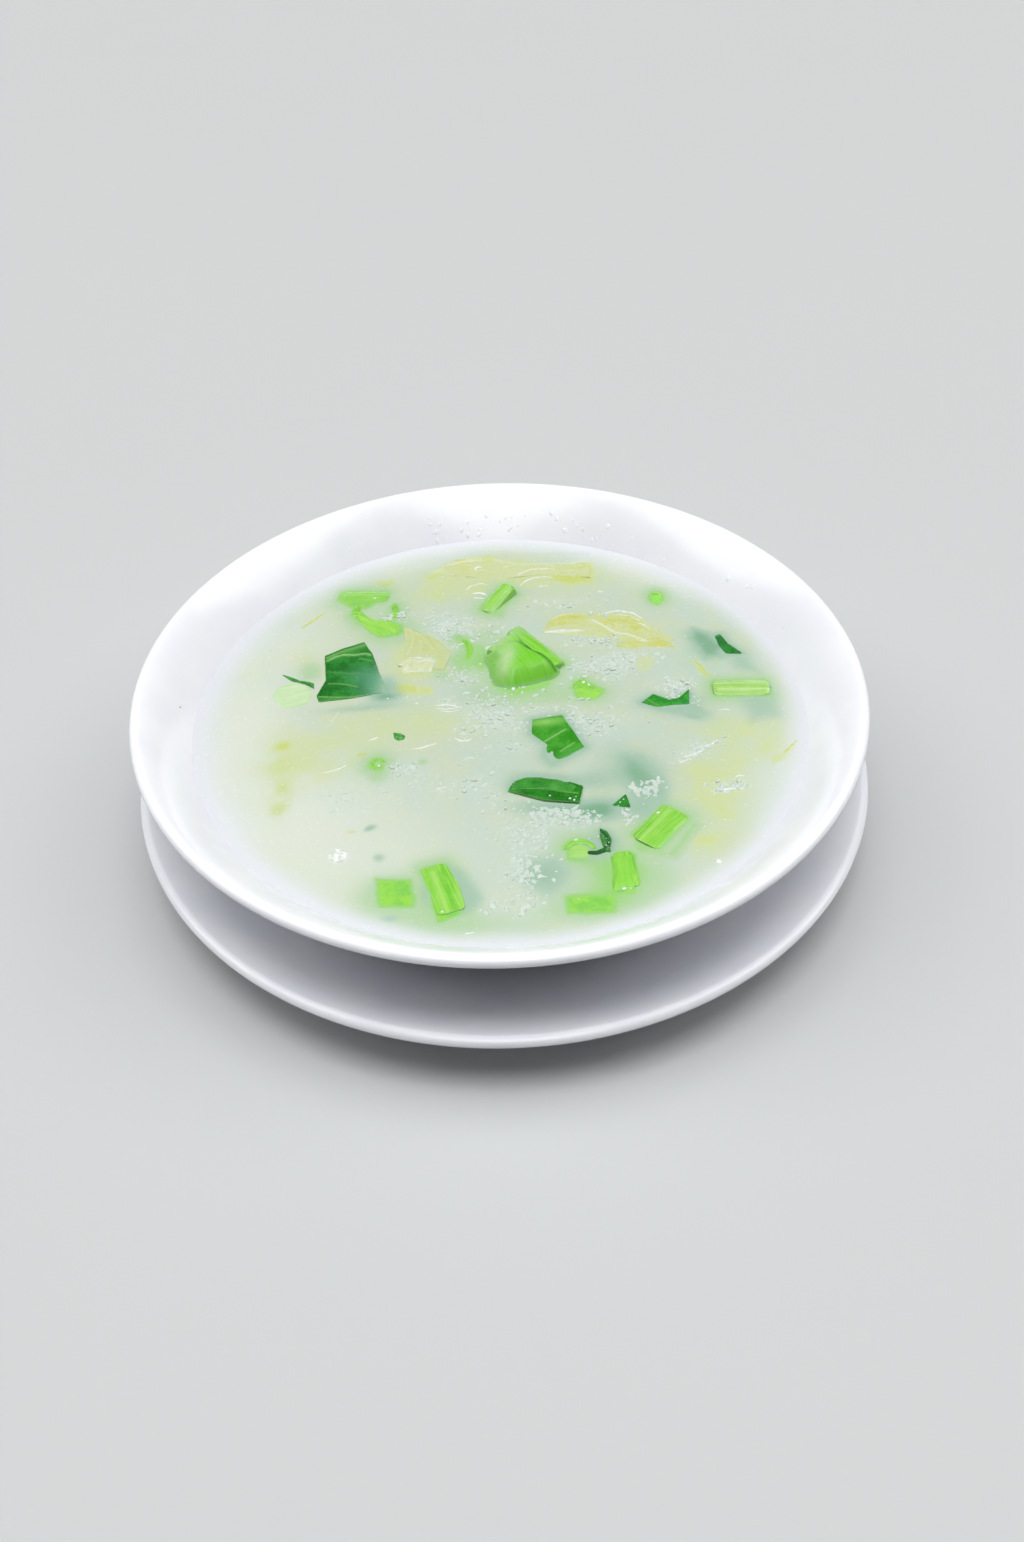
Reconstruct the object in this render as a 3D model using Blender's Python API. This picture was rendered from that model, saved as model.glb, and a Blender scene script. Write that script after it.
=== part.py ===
"""Congee with greens and cabbage in a white bowl, standing on its under-plate.

Metres, +Z up. The origin is on the table, under the middle of the under-plate, and
the near side faces -Y. The pieces in the congee are placed from a point on its surface
close to the middle of the bowl.
"""

import math
from dataclasses import dataclass

import bmesh
import bpy
from mathutils import Vector

MM = 0.001
GAP = 0.3 * MM  # kept between pieces that touch
SIDES = 48  # round a turned piece
STEM_SIDES = 10  # round a piece of stem
SMOOTH_ANGLE = math.radians(40)

CONGEE_DEPTH_BELOW_RIM = 15.0 * MM
CONGEE_EDGE_WIDTH = 2.2 * MM  # where the surface climbs the wall
CONGEE_EDGE_CLIMB = 0.45 * MM
BOWL_SHIFT = -0.8 * MM  # the bowl stands slightly left of the under-plate's middle
GREENS_SHIFT = 0.8 * MM  # the greens' common centre lies slightly behind the bowl's axis


@dataclass(frozen=True)
class Dish:
    """A turned dish: a level middle, a wall that turns up, a round lip and a foot ring."""

    reach: float  # radius where the inner wall meets the lip
    level_middle: float  # radius of the level part
    turn_over: float  # run over which the wall's S-bend goes from level to level again
    floor: float  # height of the inner floor above what the dish stands on
    rise: float  # height of the lip's inner edge above the floor
    wall: float  # thickness
    foot_outer: float
    foot_inner: float
    foot_round: float  # rounding at the foot's lower edges
    stand: float  # height of what the dish stands on

    def bend(self, radius):
        """How far along its S-bend the wall is at this radius, in radians."""
        return math.pi * max(0.0, radius - self.level_middle) / self.turn_over

    def height(self, radius):
        """Height of the inner surface."""
        share = (1 - math.cos(self.bend(radius))) / (1 - math.cos(self.bend(self.reach)))
        return self.stand + self.floor + self.rise * share

    def slope(self, radius):
        """Rise over run of the inner surface."""
        steepest = self.rise * math.pi / self.turn_over / (1 - math.cos(self.bend(self.reach)))
        return steepest * math.sin(self.bend(radius))

    def offset(self, radius, distance):
        """The point at this distance under the inner surface, square to it."""
        length = math.hypot(1.0, self.slope(radius))
        return (
            radius + distance * self.slope(radius) / length,
            self.height(radius) - distance / length,
        )

    def radius_at(self, height):
        """Radius where the inner surface reaches this height."""
        share = (height - self.stand - self.floor) / self.rise
        bend = math.acos(1 - share * (1 - math.cos(self.bend(self.reach))))
        return self.level_middle + self.turn_over * bend / math.pi

    def top(self):
        """Height of the lip's highest point."""
        return self.offset(self.reach, self.wall / 2)[1] + self.wall / 2


PLATE = Dish(
    reach=115.7 * MM, level_middle=62 * MM, turn_over=400 * MM, floor=5.5 * MM,
    rise=15.5 * MM, wall=3.8 * MM, foot_outer=74 * MM, foot_inner=68 * MM,
    foot_round=0.9 * MM, stand=0.0,
)
BOWL = Dish(
    reach=112.1 * MM, level_middle=72.4 * MM, turn_over=47.6 * MM, floor=7.9 * MM,
    rise=37.5 * MM, wall=4.0 * MM, foot_outer=55 * MM, foot_inner=50 * MM,
    foot_round=0.9 * MM, stand=PLATE.floor + GAP,
)
CONGEE_LEVEL = BOWL.top() - CONGEE_DEPTH_BELOW_RIM
CONGEE_EDGE_RADIUS = BOWL.radius_at(CONGEE_LEVEL + CONGEE_EDGE_CLIMB)
WALL_STEPS = 5
PLATE_UNDERSIDE_STEPS = 3
ABOVE_CONGEE_STEPS = 2
LIP_STEPS = 4
BASE_EXTRA = 0.6 * MM  # the base is this much thicker than the wall

WHITE = (0.86, 0.87, 0.9)
MILKY = (0.62, 0.7, 0.58)
DARK_LEAF = (0.03, 0.22, 0.03)
LIME = (0.33, 0.66, 0.12)
YELLOW_GREEN = (0.62, 0.64, 0.2)


def clear_scene():
    """Start from nothing."""
    for old in list(bpy.data.objects):
        bpy.data.objects.remove(old, do_unlink=True)


def finish(name, colour, roughness):
    """A plain finish for one piece."""
    material = bpy.data.materials.new(name)
    material.use_nodes = True
    shader = material.node_tree.nodes["Principled BSDF"]
    shader.inputs["Base Color"].default_value = (*colour, 1.0)
    shader.inputs["Roughness"].default_value = roughness
    shader.inputs["Metallic"].default_value = 0.0
    return material


def make_object(name, bm, colour, roughness, parent=None, place=(0, 0, 0), turn=(0, 0, 0)):
    """Turn a bmesh into a named, shaded and placed object."""
    bmesh.ops.recalc_face_normals(bm, faces=bm.faces)
    mesh = bpy.data.meshes.new(name)
    bm.to_mesh(mesh)
    bm.free()
    mesh.shade_smooth()
    mesh.set_sharp_from_angle(angle=SMOOTH_ANGLE)
    piece = bpy.data.objects.new(name, mesh)
    piece.data.materials.append(finish(name, colour, roughness))
    bpy.context.scene.collection.objects.link(piece)
    piece.parent = parent
    piece.location = place
    piece.rotation_euler = [math.radians(angle) for angle in turn]
    return piece


def empty(name, location, parent=None):
    """A point that other pieces are placed from."""
    point = bpy.data.objects.new(name, None)
    bpy.context.scene.collection.objects.link(point)
    point.parent = parent
    point.location = location
    return point


# ---------------------------------------------------------------- turned pieces


def spread(start, end, steps):
    """Values from start to end, evenly spread."""
    return [start + (end - start) * step / steps for step in range(steps + 1)]


def turned(profile):
    """Spin a profile of (radius, height) round the vertical axis, and close its ends."""
    bm = bmesh.new()
    wire = [bm.verts.new((radius, 0, height)) for radius, height in profile]
    edges = [bm.edges.new(pair) for pair in zip(wire, wire[1:])]
    bmesh.ops.spin(
        bm, geom=wire + edges, axis=(0, 0, 1), cent=(0, 0, 0),
        angle=2 * math.pi, steps=SIDES, use_merge=True,
    )
    bmesh.ops.remove_doubles(bm, verts=bm.verts, dist=0.001 * MM)
    open_edges = [edge for edge in bm.edges if edge.is_boundary]
    if open_edges:
        bmesh.ops.contextual_create(bm, geom=open_edges)
    return bm


def lip(dish):
    """The round lip, from the end of the inner wall to the start of the outer wall."""
    radius, height = dish.offset(dish.reach, dish.wall / 2)
    lean = math.atan(dish.slope(dish.reach))
    points = []
    for step in range(1, LIP_STEPS + 1):
        angle = lean + math.pi / 2 - math.pi * step / (LIP_STEPS + 1)
        points.append((
            radius + dish.wall / 2 * math.cos(angle),
            height + dish.wall / 2 * math.sin(angle),
        ))
    return points


def dish_profile(dish, inner_radii, outer_steps):
    """The whole profile, from the axis over the lip and the foot ring back to the axis."""
    inside = [(0.0, dish.height(0.0))]
    inside += [(radius, dish.height(radius)) for radius in inner_radii]
    wall_end = max(dish.foot_outer, dish.level_middle)
    outside = [
        dish.offset(radius, dish.wall) for radius in spread(dish.reach, wall_end, outer_steps)
    ]
    if wall_end > dish.foot_outer:
        outside.append((dish.foot_outer, outside[-1][1]))
    under = dish.wall + BASE_EXTRA
    foot = [
        (dish.foot_outer, dish.stand + dish.foot_round),
        (dish.foot_outer - dish.foot_round, dish.stand),
        (dish.foot_inner + dish.foot_round, dish.stand),
        (dish.foot_inner, dish.stand + dish.foot_round),
        (dish.foot_inner - dish.foot_round, dish.height(dish.foot_inner) - under),
        (0.0, dish.height(0.0) - under),
    ]
    return inside + lip(dish) + outside + foot


def make_plate(parent):
    """The white under-plate."""
    radii = spread(PLATE.level_middle, PLATE.reach, WALL_STEPS)
    return make_object("under_plate", turned(dish_profile(PLATE, radii, PLATE_UNDERSIDE_STEPS)), WHITE, 0.12, parent)


def radii_under_congee():
    """Where both the bowl's inner wall and the congee's underside bend, so that they match."""
    return spread(BOWL.level_middle, CONGEE_EDGE_RADIUS, WALL_STEPS)


def make_bowl(parent):
    """The white bowl."""
    radii = radii_under_congee()[:-1]
    radii += spread(CONGEE_EDGE_RADIUS, BOWL.reach, ABOVE_CONGEE_STEPS)
    return make_object("bowl", turned(dish_profile(BOWL, radii, WALL_STEPS)), WHITE, 0.1, parent)


def make_congee(parent):
    """The congee, filling the bowl to its level, with an edge that climbs the wall a little."""
    edge = BOWL.offset(CONGEE_EDGE_RADIUS, -GAP)[0]
    surface = [
        (edge - CONGEE_EDGE_WIDTH, CONGEE_LEVEL),
        (edge - CONGEE_EDGE_WIDTH * 0.4, CONGEE_LEVEL + CONGEE_EDGE_CLIMB * 0.25),
    ]
    sides = [BOWL.offset(radius, -GAP) for radius in reversed(radii_under_congee())]
    floor = [(0.0, BOWL.height(0.0) + GAP)]
    return make_object("congee", turned(surface + sides + floor), MILKY, 0.3, parent)


# ---------------------------------------------------------------- pieces of green


def oval(width, height, groove):
    """A stem's cross-section: an oval, with an optional groove along its top."""
    points = []
    for side in range(STEM_SIDES):
        angle = 2 * math.pi * side / STEM_SIDES
        across = width / 2 * math.cos(angle)
        up = height / 2 * math.sin(angle)
        if up > 0:
            up -= groove * math.exp(-((across / (0.22 * width)) ** 2))
        points.append((across, up))
    return points


def loft(rings):
    """Join rings of points into one closed body."""
    bm = bmesh.new()
    loops = [[bm.verts.new(point) for point in ring] for ring in rings]
    for near, far in zip(loops, loops[1:]):
        for side in range(len(near)):
            beside = (side + 1) % len(near)
            bm.faces.new((near[side], near[beside], far[beside], far[side]))
    bm.faces.new(list(reversed(loops[0])))
    bm.faces.new(loops[-1])
    return bm


def stem_body(length, width, height, groove=0.0, bend=0.0, taper=1.0, slant=0.0):
    """A cut length of stem along X, its ends slightly rounded.

    bend bows it sideways, taper narrows its +X end, and slant leans its cut ends.
    """
    edge = min(0.9 * MM, length * 0.12)
    stations = [(-0.5 * length, 0.86), (edge - 0.5 * length, 1.0), (0.0, 1.0),
                (0.5 * length - edge, 1.0), (0.5 * length, 0.86)]
    rings = []
    for along, grow in stations:
        share = along / length + 0.5
        size = grow * (1 + (taper - 1) * share)
        bow = bend * (1 - (2 * share - 1) ** 2)
        rings.append([
            (along + slant * up, bow + across * size, up * size)
            for across, up in oval(width, height, groove)
        ])
    return loft(rings)


def ring_body(radius, start, end, width, height, tip, rise):
    """Part of a hollow stem's ring: an oval section swept round an arc, in degrees.

    Its ends narrow to the share tip, and lie higher than its middle by rise.
    """
    steps = 6
    rings = []
    for step in range(steps + 1):
        share = step / steps
        angle = math.radians(start + (end - start) * share)
        ends = abs(2 * share - 1) ** 2
        size = 1 - (1 - tip) * ends
        rings.append([
            (
                (radius + across * size) * math.cos(angle),
                (radius + across * size) * math.sin(angle),
                up * size + rise * ends,
            )
            for across, up in oval(width, height, 0.0)
        ])
    return loft(rings)


def sheet_body(outline, lift, thickness, cuts):
    """A thin piece cut to an outline in the XY plane, each point raised to lift(x, y)."""
    bm = bmesh.new()
    bm.faces.new([bm.verts.new((x, y, 0)) for x, y in outline])
    bmesh.ops.triangulate(bm, faces=bm.faces, quad_method="BEAUTY", ngon_method="BEAUTY")
    bmesh.ops.subdivide_edges(bm, edges=bm.edges, cuts=cuts, use_grid_fill=True)
    for vert in bm.verts:
        vert.co.z = lift(vert.co.x, vert.co.y)
    bmesh.ops.recalc_face_normals(bm, faces=bm.faces)
    bmesh.ops.solidify(bm, geom=bm.faces, thickness=thickness)
    return bm


def make_stem(name, parent, place, turn, size, **shape):
    """Place a cut length of stem. place and size are in millimetres."""
    length, width, height = [value * MM for value in size]
    shape = {key: value * MM if key in ("groove", "bend") else value for key, value in shape.items()}
    bm = stem_body(length, width, height, **shape)
    return make_object(name, bm, LIME, 0.3, parent, Vector(place) * MM, turn)


def make_ring(name, parent, place, radius, arc, section, tip, rise):
    """Place a curved slice of stem. Lengths are in millimetres, and arc in degrees."""
    bm = ring_body(radius * MM, *arc, section[0] * MM, section[1] * MM, tip, rise * MM)
    return make_object(name, bm, LIME, 0.3, parent, Vector(place) * MM)


def make_sheet(name, parent, outline, lift, colour, thickness=1.1, cuts=1):
    """Place a piece of leaf. Its outline and the height lift(x, y) are in millimetres."""
    middle_x = sum(x for x, y in outline) / len(outline)
    middle_y = sum(y for x, y in outline) / len(outline)
    local = [((x - middle_x) * MM, (y - middle_y) * MM) for x, y in outline]

    def height(x, y):
        return lift(x / MM + middle_x, y / MM + middle_y) * MM

    bm = sheet_body(local, height, thickness * MM, cuts)
    return make_object(name, bm, colour, 0.3, parent, (middle_x * MM, middle_y * MM, 0))


def plane(x0, y0, height, slope_x=0.0, slope_y=0.0):
    """A level or tilted sheet through (x0, y0)."""
    return lambda x, y: height + slope_x * (x - x0) + slope_y * (y - y0)


def arch(y0, half_width, top, side):
    """A sheet arched over a line along X: top at the line, side at half_width from it."""
    return lambda x, y: top - (top - side) * ((y - y0) / half_width) ** 2


def ripple(x0, y0, height, depth, wave, turn):
    """A crumpled sheet: waves of this length running at an angle in degrees."""
    along_x = math.cos(math.radians(turn))
    along_y = math.sin(math.radians(turn))

    def lift(x, y):
        across = (x - x0) * along_x + (y - y0) * along_y
        beside = (y - y0) * along_x - (x - x0) * along_y
        waves = math.sin(2 * math.pi * across / wave)
        return height + depth * waves * (1 + 0.3 * math.sin(2 * math.pi * beside / (1.7 * wave)))

    return lift


def make_stems(surface):
    """The lengths and slices of stem that break the surface, placed in millimetres."""
    pieces = [
        make_stem("stem_far_left", surface, (-47.8, 64.2, -1.2), (-12, 0, -4), (16, 8, 4.6),
                  slant=0.5),
        make_stem("stem_far_middle", surface, (0, 59.4, -0.4), (0, -14, 56), (15.5, 7, 6.8)),
        make_stem("stem_right", surface, (79, 7.6, -0.7), (0, 0, -1), (18.5, 8.6, 7.2)),
        make_stem("stem_near_right", surface, (47, -54.4, -0.9), (0, 0, 51), (17, 10.5, 6.6),
                  slant=-0.3),
        make_stem("stem_near_sunk", surface, (35.2, -71.3, -2.2), (0, 6, 94), (13.5, 7, 4.4)),
        make_stem("stem_ridged", surface, (-17.3, -77, -1.9), (0, -5, -72), (18.5, 8.6, 4.8),
                  groove=1.3, bend=0.8),
        make_stem("stem_chip", surface, (29.2, 9.3, -0.9), (10, 6, -38), (9.5, 7, 4),
                  taper=0.6),
        make_ring("stem_crook", surface, (-43.0, 54.2, -1.9), 7.4, (150, 392), (4.4, 4.4),
                  tip=0.5, rise=2.1),
        make_ring("stem_crescent", surface, (-18.5, 31, -1.4), 8.8, (62, -38), (3.6, 4.0),
                  tip=0.55, rise=0.4),
        make_ring("stem_half_ring", surface, (22.6, -64.2, -1.0), 4.3, (168, 12), (2.8, 3.4),
                  tip=0.8, rise=0.2),
        make_ring("stem_small_ring", surface, (-38.2, -24.4, -0.9), 2.0, (20, 300), (2.0, 2.8),
                  tip=0.9, rise=0.2),
    ]
    pea = bmesh.new()
    bmesh.ops.create_icosphere(pea, subdivisions=2, radius=2.8 * MM)
    pieces.append(make_object("stem_round", pea, LIME, 0.3, surface,
                              (56.4 * MM, 60.0 * MM, -1.6 * MM)))
    return pieces


def make_stem_joint(surface):
    """The largest piece: a thick joint of stem with the foot of a leaf stalk along its back."""
    joint = make_stem("stem_joint", surface, (8.8, 22.0, -1.6), (0, -4, 22), (17, 13.5, 12),
                      taper=0.8, slant=-0.35)
    stalk = make_stem("joint_stalk", surface, (12.6, 28.4, 2.0), (-16, 9, -47), (22, 8.4, 5.2),
                      taper=0.85)
    skin = make_stem("joint_skin", surface, (1.6, 30.4, 1.4), (14, 8, 50), (12.5, 5.5, 4.2),
                     taper=1.3)
    for part in (stalk, skin):
        part.hide_render = True
        part.display_type = "WIRE"
        weld = joint.modifiers.new(part.name, "BOOLEAN")
        weld.operation = "UNION"
        weld.object = part
    return joint


def make_leaves(surface):
    """The dark pieces of leaf."""
    fold = 33.0  # the large piece's far edge is folded up beyond here

    def large(x, y):
        side = -0.03 * (x + 49)
        return 0.35 + side + max(0.0, y - fold) * 0.22

    return [
        make_sheet("leaf_large", surface,
                   [(-59, 30), (-53, 34), (-46, 37), (-43, 31), (-37, 10.5), (-48, 7.5),
                    (-59, 6), (-60, 9), (-57.6, 17)],
                   large, DARK_LEAF, cuts=2),
        make_sheet("leaf_right_tip", surface,
                   [(66, 38), (72, 35.5), (76, 36.5), (78, 31), (82, 25.5), (75, 25.5), (67.5, 28.5)],
                   plane(74, 31, 0.1, 0.13, 0.03), DARK_LEAF),
        make_sheet("leaf_folded", surface,
                   [(46, 1.5), (50, 5), (55, 2.5), (58.5, 3.5), (62, 7), (61.5, 1), (66, -5),
                    (59.5, -3.8), (52, -1.6)],
                   plane(55, 1, 0.3, -0.02, 0.16), DARK_LEAF),
        make_sheet("leaf_middle", surface,
                   [(10.4, -5.4), (20, -3.6), (22.4, -9.4), (26.4, -19), (16, -26.6),
                    (13.8, -23), (14.4, -17.4), (10, -12)],
                   plane(17, -14, 0.5, 0.02, 0.02), DARK_LEAF, cuts=2),
        make_sheet("leaf_rolled", surface,
                   [(2, -38.4), (4, -33), (10.5, -31.8), (18, -32.6), (25, -37), (23.4, -44.4),
                    (13, -43)],
                   arch(-41.5, 10, 1.6, -0.9), DARK_LEAF, cuts=2),
        make_sheet("leaf_near_tip", surface,
                   [(33, -45.4), (37.6, -41.4), (38.8, -46.6)],
                   plane(36.5, -44.4, 0.8, 0.0, 0.25), DARK_LEAF),
        make_object("leaf_curl", ring_body(4.8 * MM, 62, -112, 1.3 * MM, 3.2 * MM, 0.6, 0.4 * MM),
                    DARK_LEAF, 0.3, surface, (26.6 * MM, -60.2 * MM, 0.3 * MM)),
    ]


def make_cabbage(surface):
    """The soft, translucent pieces of cabbage leaf."""
    return [
        make_sheet("cabbage_middle", surface,
                   [(15, 40), (20, 47.5), (29, 50.5), (40, 49), (51, 43), (60, 34), (50, 31),
                    (36, 35.5), (24, 38)],
                   ripple(36, 41, -0.25, 1.0, 16, 75), YELLOW_GREEN, 1.4, cuts=2),
        make_sheet("cabbage_left", surface,
                   [(-33, 45.5), (-21, 38), (-16, 30), (-18.6, 21.5), (-31, 22.5)],
                   ripple(-26, 33, -0.3, 0.8, 13, 30), YELLOW_GREEN, 1.4, cuts=2),
        make_sheet("cabbage_far", surface,
                   [(-23, 76), (-15, 85.5), (-6, 86.5), (8, 80.6), (33, 81.6), (33.5, 72), (16, 74.5),
                    (1, 72.5)],
                   ripple(5, 78, -0.5, 0.75, 24, 12), YELLOW_GREEN, 1.4, cuts=2),
    ]


# ---------------------------------------------------------------- cutting the congee


def grown_copy(piece, group):
    """A hidden copy of a piece, larger by the gap all round, to cut its place in the congee."""
    depsgraph = bpy.context.evaluated_depsgraph_get()
    mesh = bpy.data.meshes.new_from_object(piece.evaluated_get(depsgraph))
    bm = bmesh.new()
    bm.from_mesh(mesh)
    bm.normal_update()
    moves = [vert.normal * GAP * vert.calc_shell_factor() for vert in bm.verts]
    for vert, move in zip(bm.verts, moves):
        vert.co += move
    bm.to_mesh(mesh)
    bm.free()
    cutter = bpy.data.objects.new(piece.name + "_place", mesh)
    group.objects.link(cutter)
    cutter.matrix_world = piece.matrix_world
    cutter.hide_render = True
    cutter.display_type = "WIRE"
    return cutter


def cut_places(congee, pieces):
    """Cut the congee round the pieces that stand in its surface."""
    group = bpy.data.collections.new("places")
    bpy.context.scene.collection.children.link(group)
    bpy.context.view_layer.update()
    for piece in pieces:
        grown_copy(piece, group)
    cut = congee.modifiers.new("places", "BOOLEAN")
    cut.operation = "DIFFERENCE"
    cut.operand_type = "COLLECTION"
    cut.collection = group
    cut.solver = "EXACT"


def main():
    """Build the dish, the congee and what is in it."""
    clear_scene()
    table = empty("table", (0, 0, 0))
    bowl_axis = empty("bowl_axis", (BOWL_SHIFT, 0, 0), table)
    surface = empty("congee_surface", (0, GREENS_SHIFT, CONGEE_LEVEL), bowl_axis)
    make_plate(table)
    make_bowl(bowl_axis)
    congee = make_congee(bowl_axis)
    pieces = make_stems(surface) + [make_stem_joint(surface)]
    pieces += make_leaves(surface) + make_cabbage(surface)
    cut_places(congee, pieces)


main()
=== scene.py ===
"""Looks of a bowl of congee with greens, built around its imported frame.

Every length in the classes is in millimetres unless its name says otherwise, and is
turned into the frame's metres when a mesh is made. Places in the congee are measured
from the middle of the bowl: x to the right, y away from the diner.
"""

from __future__ import annotations

import logging
import math
from dataclasses import dataclass
from enum import Enum
from typing import Iterable, Sequence

import bmesh
import bpy
import numpy as np
from mathutils import Matrix, Vector
from mathutils.bvhtree import BVHTree

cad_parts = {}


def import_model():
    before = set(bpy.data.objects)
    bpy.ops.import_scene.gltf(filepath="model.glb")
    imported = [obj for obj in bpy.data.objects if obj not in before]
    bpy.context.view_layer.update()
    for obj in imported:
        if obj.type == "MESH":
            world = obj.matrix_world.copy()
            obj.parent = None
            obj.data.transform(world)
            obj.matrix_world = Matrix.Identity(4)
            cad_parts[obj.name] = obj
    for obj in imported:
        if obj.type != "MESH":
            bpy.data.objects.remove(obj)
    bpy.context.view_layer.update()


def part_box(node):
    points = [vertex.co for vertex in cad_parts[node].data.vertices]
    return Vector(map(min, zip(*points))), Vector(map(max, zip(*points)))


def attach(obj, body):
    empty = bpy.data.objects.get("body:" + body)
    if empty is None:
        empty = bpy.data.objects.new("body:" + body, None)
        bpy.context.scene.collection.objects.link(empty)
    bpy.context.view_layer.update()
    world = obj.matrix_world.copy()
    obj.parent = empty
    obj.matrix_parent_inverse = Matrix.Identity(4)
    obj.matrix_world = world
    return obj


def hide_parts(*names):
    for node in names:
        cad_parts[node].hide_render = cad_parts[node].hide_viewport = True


LOG = logging.getLogger("congee_bowl")
MM = 0.001
BODY = "root"
LIGHT_LEVEL = 1.35
# How strongly water and wet food bend light.
WET_IOR = 1.38
# Heights over the congee's level between which a surface is sunk, at the waterline, or in view.
SUNK = (-20.0, -0.15)
NEAR_SURFACE = (-0.6, 0.8)
VISIBLE = (-0.3, 20.0)
Point = tuple[float, float]
Point3 = tuple[float, float, float]
Colour = tuple[float, float, float, float]
Surface = tuple[np.ndarray, list[tuple[int, ...]]]


def srgb(red: float, green: float, blue: float) -> Colour:
    """Turn a display colour from 0 to 255 into the linear colour a shader takes.

    Args:
        red: The red value.
        green: The green value.
        blue: The blue value.

    Returns:
        The linear colour with full alpha.
    """
    linear = []
    for value in (red, green, blue):
        share = value / 255
        linear.append(share / 12.92 if share <= 0.04045 else ((share + 0.055) / 1.055) ** 2.4)
    return (linear[0], linear[1], linear[2], 1.0)


def seen(red: float, green: float, blue: float) -> Colour:
    """The surface colour of food that looks like this display colour under the studio's lights."""
    linear = srgb(red, green, blue)
    return (linear[0] / LIGHT_LEVEL, linear[1] / LIGHT_LEVEL, linear[2] / LIGHT_LEVEL, 1.0)


def smoothstep(low: float, high: float, value: np.ndarray) -> np.ndarray:
    """Rise smoothly from 0 at low to 1 at high."""
    share = np.clip((value - low) / (high - low), 0.0, 1.0)
    return share * share * (3 - 2 * share)


def lattice_noise(x: np.ndarray, y: np.ndarray, cell: float, seed: int) -> np.ndarray:
    """Smooth random values from -1 to 1, about one bump to a cell.

    Args:
        x: Positions across, in any unit.
        y: Positions along, in the same unit.
        cell: The size of a bump in that unit.
        seed: Picks the pattern.

    Returns:
        A value for each position.
    """
    side = 256
    table = np.random.default_rng(seed).uniform(-1, 1, (side, side))
    column, row = np.floor(x / cell).astype(int), np.floor(y / cell).astype(int)
    right, up = x / cell - column, y / cell - row
    right, up = right * right * (3 - 2 * right), up * up * (3 - 2 * up)
    near = table[row % side, column % side] * (1 - right) + table[row % side, (column + 1) % side] * right
    far_row = (row + 1) % side
    far = table[far_row, column % side] * (1 - right) + table[far_row, (column + 1) % side] * right
    return near * (1 - up) + far * up


def layered_noise(x: np.ndarray, y: np.ndarray, cell: float, layers: int, seed: int) -> np.ndarray:
    """Noise with finer noise on top, each layer half the size and strength of the last.

    Args:
        x: Positions across.
        y: Positions along.
        cell: The size of the largest bumps.
        layers: How many layers there are.
        seed: Picks the pattern.

    Returns:
        A value for each position, mostly between -1 and 1.
    """
    total = np.zeros_like(x, dtype=float)
    for layer in range(layers):
        angle = 0.7 * layer
        turned_x = x * math.cos(angle) - y * math.sin(angle)
        turned_y = x * math.sin(angle) + y * math.cos(angle)
        total += lattice_noise(turned_x, turned_y, cell / 2**layer, seed + layer) / 2**layer
    return total / 1.5


def path_distance(path: Sequence[Point], x: np.ndarray, y: np.ndarray) -> np.ndarray:
    """How far places lie from a path of straight stretches.

    Args:
        path: The path's points.
        x: Places across.
        y: Places along.

    Returns:
        The distance of each place.
    """
    nearest = np.full(x.shape, np.inf)
    for (ax, ay), (bx, by) in zip(path, path[1:]):
        length = (bx - ax) ** 2 + (by - ay) ** 2
        along = np.clip(((x - ax) * (bx - ax) + (y - ay) * (by - ay)) / length, 0, 1)
        nearest = np.minimum(nearest, np.hypot(x - ax - along * (bx - ax), y - ay - along * (by - ay)))
    return nearest


def evenly(path: Sequence[Point], count: int, closed: bool = False) -> np.ndarray:
    """Points spread evenly along a path of straight stretches.

    Args:
        path: The path's points.
        count: How many points there are.
        closed: Whether the path ends where it starts, so that its last point is left out.

    Returns:
        One row for each point.
    """
    corners = np.array(path, dtype=float)
    lengths = np.concatenate([[0], np.cumsum(np.hypot(*np.diff(corners, axis=0).T))])
    places = np.linspace(0, lengths[-1], count, endpoint=not closed)
    return np.stack([np.interp(places, lengths, corners[:, axis]) for axis in (0, 1)], axis=1)


def ring_faces(rings: int, count: int) -> list[tuple[int, ...]]:
    """The faces between rings of points that follow each other.

    Args:
        rings: How many rings there are.
        count: How many points each has.

    Returns:
        The corners of each face.
    """
    return [
        (ring * count + side, ring * count + (side + 1) % count,
         (ring + 1) * count + (side + 1) % count, (ring + 1) * count + side)
        for ring in range(rings - 1) for side in range(count)
    ]


# ------------------------------------------------------------------------ shader nodes


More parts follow.
